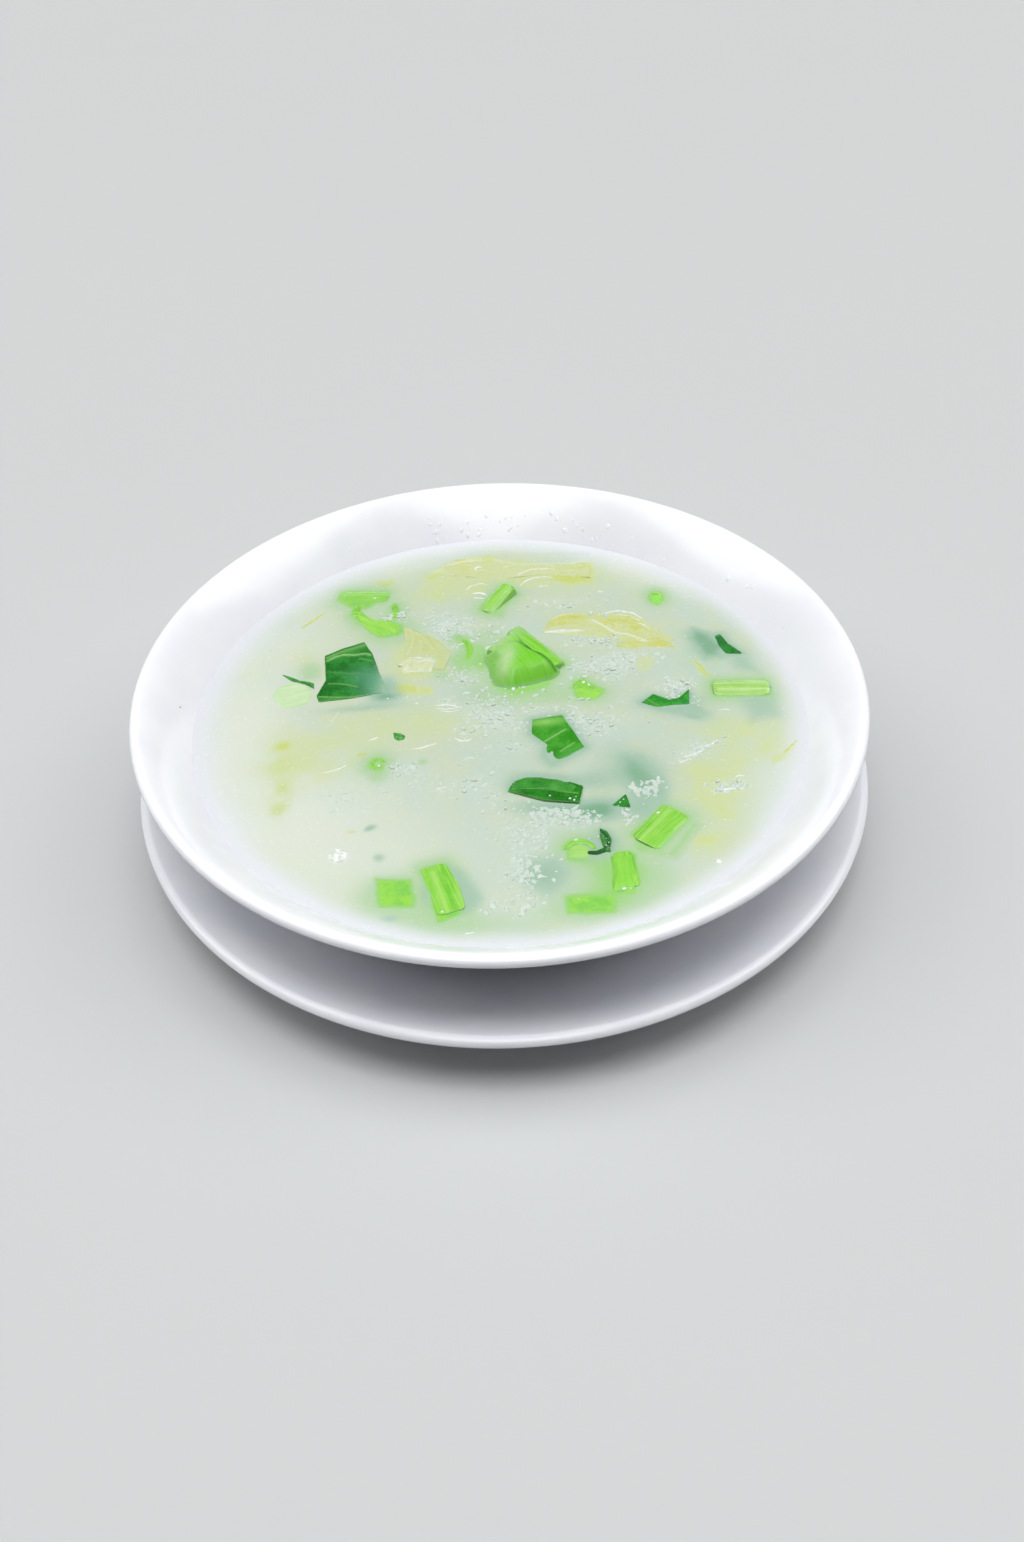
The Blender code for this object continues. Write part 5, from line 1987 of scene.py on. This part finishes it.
PALE_STEM = soft_skin(
    "pale_stem_skin", deep=seen(190, 222, 162), mid=seen(203, 229, 180), light=seen(216, 235, 200),
    film=seen(204, 228, 188),
)
SOFT_CABBAGE = CabbageFinish(
    "soft_cabbage_flesh", deep=seen(204, 208, 92), mid=seen(209, 216, 122), clear=seen(214, 224, 158),
)
LEAF_BIT = LeafFinish("leaf_bit_blade", dark=seen(24, 112, 28), mid=seen(50, 144, 44),
                      veil=seen(60, 140, 60))
EXTRAS = (
    Extra("joint_flesh",
          Mound(((-4, 22), (-5.6, 26.6), (-3.8, 31.5), (0.8, 37.6), (4.8, 39), (8, 36.5), (12, 31.6),
                 (18, 25.4), (20.4, 21.5), (20.8, 18.6), (18.4, 15.6), (10.6, 12.6), (4, 10.6),
                 (-1.8, 12.6), (-3.6, 18)), 5.6, -0.5, 7, 0.04, dome=True, film_top=1.5,
                inside=(Spot(2.4, 20.8, 7, 2.9, 77), Spot(2.4, 20.8, 5, 1.8, 77),
                        Spot(0.6, 31.8, 8, 4, 59)),
                # The slit's groove is painted dark green as its shade.
                groove=(Line(((7.7, 29.5), (12.6, 24.6), (18.6, 18.8)), 0.9, 0.9),
                        Line(((-0.6, 26.8), (1.4, 28.4), (4.6, 29.4), (7.6, 29.6)), 0.45, 0.4, 0.5))),
          StemFinish("joint_flesh_skin", deep=seen(114, 207, 46), mid=seen(126, 214, 56),
                     light=seen(144, 221, 80), inside=seen(188, 222, 160), film=seen(158, 212, 142),
                     crease_shade=seen(40, 132, 18), coat=0.25, roughness=0.36), "green_stem", 120),
    Extra("rolled_back",
          Mound(((2.2, -37.4), (3.4, -33), (7, -31.2), (12, -31), (18.6, -32.8), (24, -36.6), (22.6, -40),
                 (12, -38)), 1, -0.5, 2.2, rough=0.06,
                stripe=(Line(((4, -35.2), (12, -34.6), (21, -38)), 0.35),)),
          LeafFinish("rolled_back_blade", dark=seen(26, 110, 22), mid=seen(46, 140, 38),
                     veil=seen(70, 150, 80)), "green_leaf"),
    Extra("near_sunk_flesh",
          Mound(((31.2, -64.4), (37.9, -64.4), (37.6, -78.2), (30.9, -78.6)), 0.75, -0.5, 2.8),
          soft_skin("near_sunk_skin", deep=seen(132, 212, 66), mid=seen(142, 219, 78),
                    light=seen(152, 222, 88)), "green_stem", 95),
    Extra("half_ring_flesh",
          Mound(((18.5, -63.4), (19.1, -61.2), (20.8, -59.6), (23.5, -59.5), (25.6, -60.9), (26.7, -63.2),
                 (26, -65.8), (22.4, -66.4), (18.7, -65.8)), 0.5, -0.5, 3),
          soft_skin("half_ring_skin", deep=seen(152, 214, 100), mid=seen(168, 220, 116),
                    light=seen(182, 226, 130)), "green_stem", 0),
    Extra("round_flesh",
          Mound(((59.1, 58.8), (58.2, 61.9), (56, 63.1), (53.8, 61.9), (52.9, 58.8), (53.8, 55.7),
                 (56, 54.5), (58.2, 55.7)), 0.95, -0.5, 3.4),
          soft_skin("round_skin", deep=seen(136, 220, 80), mid=seen(148, 227, 92),
                    light=seen(172, 235, 126)), "green_stem", 0),
    Extra("chip_flesh",
          Mound(((23.6, 14.4), (27.4, 14.3), (33.2, 10.4), (35, 7.6), (31.4, 3.6), (25.6, 4.4),
                 (23.4, 9.5)), 0.6, -0.5, 4.2),
          soft_skin("chip_skin", deep=seen(140, 214, 72), mid=seen(154, 222, 86)), "green_stem", -30),
    Extra("curl_blade",
          Mound(((28.5, -56.2), (30.2, -57.4), (31.4, -61.5), (31.6, -63.6), (30, -63.9), (29, -60.8)),
                1.25, -0.4, 1.3, rough=0.5),
          LeafFinish("curl_blade_skin", dark=seen(14, 84, 20), mid=seen(36, 126, 40),
                     veil=seen(70, 150, 70)), "green_leaf"),
    Extra("cabbage_block",
          Mound(((-33.4, 27), (-31, 29.6), (-26, 28.8), (-22.4, 29.8), (-21, 25), (-22.4, 21), (-28, 21.6),
                 (-32.4, 20.4)), 0.55, -0.5, 2.8, rough=0.6),
          CabbageFinish("cabbage_block_flesh", deep=seen(212, 221, 158), mid=seen(220, 228, 184),
                        clear=seen(230, 237, 208)), "cabbage"),
    Extra("crook_flesh",
          Mound(((-52.5, 59.2), (-50, 58), (-47.2, 54), (-43.6, 52), (-39.6, 50.6), (-34.6, 48.4),
                 (-32.8, 45), (-35, 41.8), (-39, 40.9), (-42.2, 41.2), (-46, 44.4), (-49.6, 49.2),
                 (-52.4, 54.6)), 0.45, -0.6, 3.2), soft_skin("crook_flesh_skin", mid=seen(156, 220, 84)),
          "green_stem", -40),
    Extra("pale_slice",
          Mound(((-75.6, 11), (-73.6, 16), (-68.4, 18), (-62.8, 16), (-60.4, 11.4), (-62.2, 5.6),
                 (-67.6, 3.2), (-72.4, 4.4)), 0.5, -0.5, 2.6), PALE_STEM, "green_stem", 20),
    Extra("cabbage_lobe_left",
          Mound(((14.5, 42.6), (17, 48.6), (22, 52.4), (28.3, 52.4), (32.8, 49.2), (31, 44.4), (24, 42.8)),
                0.5, -0.5, 4, rough=0.25), SOFT_CABBAGE, "cabbage"),
    Extra("cabbage_lobe_middle",
          Mound(((33.6, 48.6), (38, 51.4), (46, 50.8), (51.6, 46.4), (54.6, 39.6), (48, 38.6),
                 (40.4, 42.2)), 0.75, -0.5, 4, rough=0.3), SOFT_CABBAGE, "cabbage"),
    Extra("cabbage_lobe_right",
          Mound(((38.4, 32.6), (44, 37), (52, 38.6), (57.4, 36), (61.8, 31.2), (52, 30.4), (44, 30.2)), 0.4,
                -0.5, 3.4, rough=0.25), SOFT_CABBAGE, "cabbage"),
    Extra("teardrop",
          Mound(((-34.3, -8.8), (-31.4, -9), (-29.7, -10.6), (-30.2, -12.6), (-32.4, -13.2), (-34, -11.8)),
                0.75, -0.3, 1.6, rough=0.05, dome=True),
          LeafFinish("teardrop_blade", dark=seen(40, 128, 24), mid=seen(70, 166, 34),
                     veil=seen(120, 190, 110), coat=0.4), "green_leaf"),
    Extra("leaf_slit",
          Mound(((-72.8, 21.8), (-68.6, 19.6), (-65, 17.9), (-61.2, 16.6), (-61, 13.6), (-61.9, 15.6),
                 (-65.6, 16.7), (-69.2, 18.2)), 0.4, -0.3, 0.9, rough=0.02), LEAF_BIT, "green_leaf"),
    Extra("leaf_scrap",
          Mound(((86.9, 10.4), (88.9, 8.6), (88.2, 6.8), (86.6, 8)), 0.3, -0.3, 1, rough=0.02), LEAF_BIT,
          "green_leaf"),
)
# Wet folds: real raised ridges, coloured near white as painted glints.
WET_FOLD_GLINTS = (
    Thread(((-27.6, 4.9), (-26.2, 5.6)), 1),
    Thread(((-21.4, 3.8), (-18, 4.2), (-14.5, 3.4), (-11.3, 2.3)), 0.8),
    Thread(((-21, 2.6), (-17.4, 1.8), (-13, 2.6)), 0.7),
    Thread(((-19.6, 1.2), (-16, 0.4), (-12.6, 1.6)), 0.6),
    Thread(((-42, -12.6), (-40.1, -11.7), (-38.6, -10.6)), 0.9),
    Thread(((-28.1, -16.9), (-25, -16.6), (-22.4, -15.4), (-19.8, -14.4)), 1.1, 0.35),
    Thread(((-14.6, -12), (-12.6, -13.6), (-10.4, -13.8), (-9, -12.6)), 1, 0.35),
    Thread(((-11.6, -22.4), (-9.8, -21.6), (-7.8, -21.8)), 0.6),
    Thread(((-55.4, -26.8), (-52.4, -26.2), (-49.8, -25), (-47.6, -23.2)), 0.9, 0.3),
    Thread(((-55.9, -6.2), (-54.4, -3.6), (-52.6, 0.8), (-51.6, 3.6)), 0.35),
    Thread(((55.2, -26.6), (57.6, -25.2), (59.4, -24.8)), 1.1, 0.4),
    Thread(((57, -23.6), (60.4, -22.8), (64, -20.4)), 1.2, 0.45),
    Thread(((63.6, -19.2), (66, -18.6), (68.6, -16.2)), 1.1, 0.45),
    Thread(((64.6, -40.2), (68.4, -38.6), (72.4, -38.4), (74.4, -39.2)), 1.1, 0.35),
    Thread(((71.3, -33.6), (73, -32.6), (75, -33.2)), 0.8),
    Thread(((69.8, -2.6), (72.6, -1.6), (74.8, -2.4)), 0.6),
    Thread(((9.8, -73.2), (11.2, -72.2), (13, -72.8)), 0.6), Thread(((-10.8, -93), (-7.8, -92.4)), 0.6),
    Thread(((7.7, 68.3), (9.6, 71.2), (12.1, 73.3), (16.4, 74.2), (20.8, 73.6)), 0.9, 0.35),
    Thread(((14.6, 67.8), (16.4, 68.4), (18.4, 68.2)), 1.1, 0.4),
    Thread(((35.2, 63.4), (37.8, 64.2)), 1, 0.3),
    Thread(((-8.4, 79.4), (-7, 81.4), (-5.2, 80.8)), 1.3, 0.4),
    Thread(((-9.4, 64.8), (-6.2, 65), (-3.6, 63.6)), 1.6, 0.5),
    Thread(((-12, 66.4), (-9.6, 69.6), (-5.8, 71), (-2.6, 69.4)), 0.7),
    Thread(((-9, 62.4), (-4.4, 61.8)), 0.9),
    Thread(((36.6, 51.2), (41.8, 52.4), (46.9, 51), (50.4, 47.4)), 1.3, 0.5),
    Thread(((15.4, 40.8), (20, 41.6), (25, 41.8), (29.6, 41)), 1.1, 0.45),
    Thread(((46.8, 45.2), (50, 43.2), (52.6, 40)), 0.7, 0.4),
    Thread(((46.6, 35.4), (51, 33.8), (53.6, 34.6)), 0.6, 0.3),
    Thread(((-27.4, 22.8), (-25.2, 23.4), (-23.2, 22.6)), 0.8),
    Thread(((-31.6, 28.8), (-28, 29), (-23, 28.6)), 0.6),
    Thread(((-19.4, 47), (-13, 47.6), (-6.4, 45.4)), 0.5), Thread(((-14.4, 35.4), (-11.6, 36)), 0.9),
)
STRANDS = (
    Thread(((-69.8, 45.6), (-66.4, 49.4), (-63.6, 52.8), (-60.4, 56.9)), 1.3, 0.25),
    Thread(((63.9, 25.2), (66.4, 22), (69, 16.8), (70.6, 14.6)), 1, 0.2),
    Thread(((87.6, -23.8), (90.6, -20.6), (93.4, -16.9)), 1.2, 0.2),
    Thread(((-45.4, -19.4), (-43.4, -18.6), (-41.4, -18.9)), 0.9, 0.2),
)


def lay(threads: Sequence[Thread], name: str, finish: MilkyFinish, slot: str,
        ground: Ground) -> bpy.types.Object:
    """Lay threads over the congee as one piece.

    Args:
        threads: The threads.
        name: The piece's name.
        finish: What dresses them.
        slot: The record's slot that the finish stands for.
        ground: What they lie on.

    Returns:
        The finished piece.
    """
    gathered = Gathered(ground.measures)
    for thread in threads:
        points, faces = thread.mesh(ground)
        gathered.add(points, faces, 1.0)
    return gathered.build(name, finish.material(), slot)


@dataclass(frozen=True)
class Bubble:
    """A thin bubble standing on the surface."""

    x: float
    y: float
    radius: float
    rise: float = 0.34

    def build(self, name: str, ground: Ground) -> bpy.types.Object:
        """Blow the bubble.

        Args:
            name: The piece's name.
            ground: What it stands on.

        Returns:
            The finished piece.
        """
        around, up = 48, 16
        rings = []
        for step in range(up):
            angle = step / (up - 1) * math.pi / 2
            reach, height = self.radius * math.cos(angle), self.radius * self.rise * math.sin(angle)
            if step == 0:
                rings.append((reach * 1.12, -0.15))
                rings.append((reach * 1.04, 0.06))
            rings.append((max(reach, 0.01), height + 0.06))
        angles = np.linspace(0, 2 * math.pi, around, endpoint=False)
        base = ground.height(self.x + self.radius * 1.2, self.y)[0]
        points = np.concatenate([
            np.column_stack([reach * np.cos(angles), reach * np.sin(angles), np.full(around, height)])
            for reach, height in rings
        ]) + (self.x, self.y, base)
        faces = ring_faces(len(rings), around)
        faces.append(tuple(range(around))[::-1])
        faces.append(tuple((len(rings) - 1) * around + side for side in range(around)))
        gathered = Gathered(ground.measures)
        gathered.add(points, faces, np.repeat(np.linspace(1, 0, len(rings)), around))
        return gathered.build(name, self.film(name + "_film"), "congee")

    def film(self, name: str) -> bpy.types.Material:
        """The bubble's skin: milky, with a paler foot and white patches on its side that are painted
        highlights.
        """
        shader = Shader(name)
        foot = shader.remap(shader.attribute("shade"), 0.5, 0.95, 0.0, 0.8)
        # White patches on the side: painted highlights.
        cloud = shader.remap(shader.noise(self.radius * 0.9, detail=1.0), 0.46, 0.54)
        skin = shader.mix(foot, seen(224, 232, 219), seen(236, 241, 233))
        shader.set(Base_Color=shader.mix(cloud, skin, seen(255, 255, 255)))
        shader.set(Roughness=0.12, IOR=1.35, Coat_Weight=0.6, Coat_Roughness=0.04)
        return shader.material


@dataclass(frozen=True)
class Speck:
    """One tiny dark speck on the wall of the bowl."""

    angle: float = 179.9
    radius: float = 102.4
    half_size: float = 0.32

    def build(self, measures: Measures) -> bpy.types.Object:
        """Set the speck on the wall."""
        points, faces = blob((self.half_size, self.half_size * 0.8, self.half_size * 0.5), 0.4, 0.0, 3)
        turn = math.radians(self.angle)
        height = BOWL.height(self.radius) + measures.bowl_stand - measures.level
        speck = Gathered(measures)
        speck.add(points + (self.radius * math.cos(turn), self.radius * math.sin(turn), height), faces)
        finish = MilkyFinish("speck_dark", light=srgb(96, 84, 84), shade=srgb(66, 56, 58), roughness=0.5)
        return speck.build("rim_speck", finish.material(), "bowl_china")


@dataclass(frozen=True)
class WallResidue:
    """Thin dried-on specks of rice water on the far wall, above the waterline."""

    count: int = 46
    middle: float = 88.0
    spread: float = 26.0
    lowest: float = 99.4
    highest: float = 106.5
    seed: int = 29

    def build(self, measures: Measures) -> bpy.types.Object:
        """Scatter the specks.

        Args:
            measures: Where the bowl is.

        Returns:
            The finished piece.
        """
        random = np.random.default_rng(self.seed)
        specks = Gathered(measures)
        for index in range(self.count):
            angle = math.radians(random.normal(self.middle, self.spread))
            radius = self.lowest + (self.highest - self.lowest) * random.beta(1.1, 2.0)
            size = random.uniform(0.4, 1.1)
            points, faces = blob((size, size * random.uniform(0.5, 0.9), 0.03), 0.0, 0.0, index)
            lean = math.atan(BOWL.slope(radius))
            turned = np.array(Matrix.Rotation(angle, 3, "Z") @ Matrix.Rotation(-lean, 3, "Y"))
            height = BOWL.height(radius) + measures.bowl_stand - measures.level
            points = points @ turned.T + (radius * math.cos(angle), radius * math.sin(angle), height)
            specks.add(points, faces, random.uniform(0, 1))
        finish = MilkyFinish("residue_dry", light=srgb(240, 241, 245), shade=srgb(234, 235, 241),
                             roughness=0.3)
        return specks.build("wall_residue", finish.material(), "congee")


# ------------------------------------------------------------------------ the studio


@dataclass(frozen=True)
class Lamp:
    """A far, wide and even light: where it comes from and how wide it is, in degrees."""

    name: str
    azimuth: float
    elevation: float
    spread: float
    strength: float
    gloss_only: bool = False
    matte_only: bool = False

    def hang(self) -> None:
        """Add the light."""
        data = bpy.data.lights.new(self.name, "SUN")
        data.energy = self.strength
        data.angle = math.radians(self.spread)
        lamp = bpy.data.objects.new(self.name, data)
        across = math.cos(math.radians(self.elevation))
        toward = Vector((
            across * math.cos(math.radians(self.azimuth)),
            across * math.sin(math.radians(self.azimuth)),
            math.sin(math.radians(self.elevation)),
        ))
        lamp.rotation_euler = toward.to_track_quat("Z", "Y").to_euler()
        lamp.location = toward
        lamp.visible_diffuse = not self.gloss_only
        lamp.visible_glossy = not self.matte_only
        bpy.context.scene.collection.objects.link(lamp)


@dataclass(frozen=True)
class Studio:
    """A pale floor, soft lights above and beside, and the camera."""

    eye: tuple[float, float, float] = (2.65, -340.38, 329.56)
    look_down: float = 43.189
    roll: float = -1.513
    lens: float = 32.43
    floor_size: float = 6000.0
    floor_colour: Colour = srgb(184, 186, 186)
    air: float = 0.05
    key: Lamp = Lamp("key", azimuth=90.0, elevation=89.0, spread=44.0, strength=2.72, matte_only=True)
    left: Lamp = Lamp("left_fill", azimuth=172.0, elevation=50.0, spread=40.0, strength=1.0)
    right: Lamp = Lamp("right_fill", azimuth=8.0, elevation=50.0, spread=40.0, strength=0.95)
    sheen: Lamp = Lamp("sheen", azimuth=-90.0, elevation=60.0, spread=36.0, strength=0.9, gloss_only=True)
    front_place: Point3 = (0.0, -900.0, 800.0)
    front_size: Point = (420.0, 260.0)
    front_power: float = 0.35

    def front_softbox(self) -> None:
        """Hang the small softbox that puts the glints on what is wet."""
        data = bpy.data.lights.new("front_softbox", "AREA")
        data.shape = "RECTANGLE"
        data.size, data.size_y = self.front_size[0] * MM, self.front_size[1] * MM
        data.energy = self.front_power
        lamp = bpy.data.objects.new("front_softbox", data)
        lamp.location = Vector(self.front_place) * MM
        lamp.rotation_euler = (Vector((0, 0, 30)) * MM - lamp.location).to_track_quat("-Z", "Y").to_euler()
        bpy.context.scene.collection.objects.link(lamp)

    def floor(self) -> None:
        """Lay the floor."""
        half = self.floor_size / 2 * MM
        corners = [(-half, -half, 0), (half, -half, 0), (half, half, 0), (-half, half, 0)]
        plane = mesh_object("floor", np.array(corners), [(0, 1, 2, 3)])
        shader = Shader("floor_matte")
        cloud = shader.noise(160.0, detail=2.0)
        shade = tuple(value * 0.985 for value in self.floor_colour[:3]) + (1.0,)
        shader.set(Base_Color=shader.mix(cloud, shade, self.floor_colour), Roughness=0.9)
        shader.set(Specular_IOR_Level=0.1)
        plane.data.materials.append(shader.material)

    def camera(self) -> None:
        """Set up the camera."""
        data = bpy.data.cameras.new("camera")
        data.lens, data.sensor_width = self.lens, 36.0
        data.clip_start, data.clip_end = 0.01, 50.0
        view = bpy.data.objects.new("camera", data)
        tilt = Matrix.Rotation(math.radians(90 - self.look_down), 4, "X")
        level = Matrix.Rotation(math.radians(self.roll), 4, "Z")
        view.matrix_world = Matrix.Translation(Vector(self.eye) * MM) @ tilt @ level
        bpy.context.scene.collection.objects.link(view)
        bpy.context.scene.camera = view

    def build(self) -> None:
        """Set up floor, lights, air and camera."""
        scene = bpy.context.scene
        world = bpy.data.worlds.new("room")
        world.use_nodes = True
        world.node_tree.nodes["Background"].inputs["Color"].default_value = (0.97, 0.98, 1.0, 1.0)
        world.node_tree.nodes["Background"].inputs["Strength"].default_value = self.air
        scene.world = world
        scene.view_settings.view_transform = "Standard"
        scene.view_settings.look = "None"
        self.floor()
        for lamp in (self.key, self.left, self.right, self.sheen):
            lamp.hang()
        self.front_softbox()
        self.camera()


def main() -> None:
    """Build the studio and every piece."""
    logging.basicConfig(level=logging.INFO, format="%(message)s")
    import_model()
    measures = Measures.from_frame()
    Studio().build()
    BOWL.build(GlazeFinish("bowl_glaze").material())
    PLATE.build(GlazeFinish("plate_glaze").material())
    stems = [piece.build(measures) for piece in STEMS]
    leaves = [piece.build(measures) for piece in LEAVES]
    cabbage = [piece.build(measures) for piece in CABBAGE]
    everything = stems + leaves + cabbage
    congee = Congee()
    surface = congee.build(
        measures,
        joined_tree(fine.tree(*SUNK) for fine in stems),
        joined_tree(fine.tree(*SUNK) for fine in leaves),
        joined_tree(fine.tree(*NEAR_SURFACE) for fine in everything),
    )
    for extra in EXTRAS:
        extra.build(measures)
    ground = Ground(measures, surface, everything)
    rice = RiceGrains()
    rice.build(measures, congee, ground)
    rice.build_flakes(measures, congee, ground)
    Droplets().build(measures, ground)
    # The folds' near-white colour is a painted glint.
    wet = MilkyFinish("fold_glint_white", light=seen(250, 252, 246), shade=seen(232, 240, 222), roughness=0.06)
    lay(WET_FOLD_GLINTS, "wet_folds", wet, "cabbage", ground)
    yellow = MilkyFinish("strand_yellow", light=seen(214, 226, 128), shade=seen(200, 214, 104))
    lay(STRANDS, "strands", yellow, "cabbage", ground)
    Bubble(-47.6, -62.2, 2.75).build("bubble_large", ground)
    Bubble(62.2, -68.3, 0.95).build("bubble_small", ground)
    WallResidue().build(measures)
    Speck().build(measures)


if __name__ == "__main__":
    main()
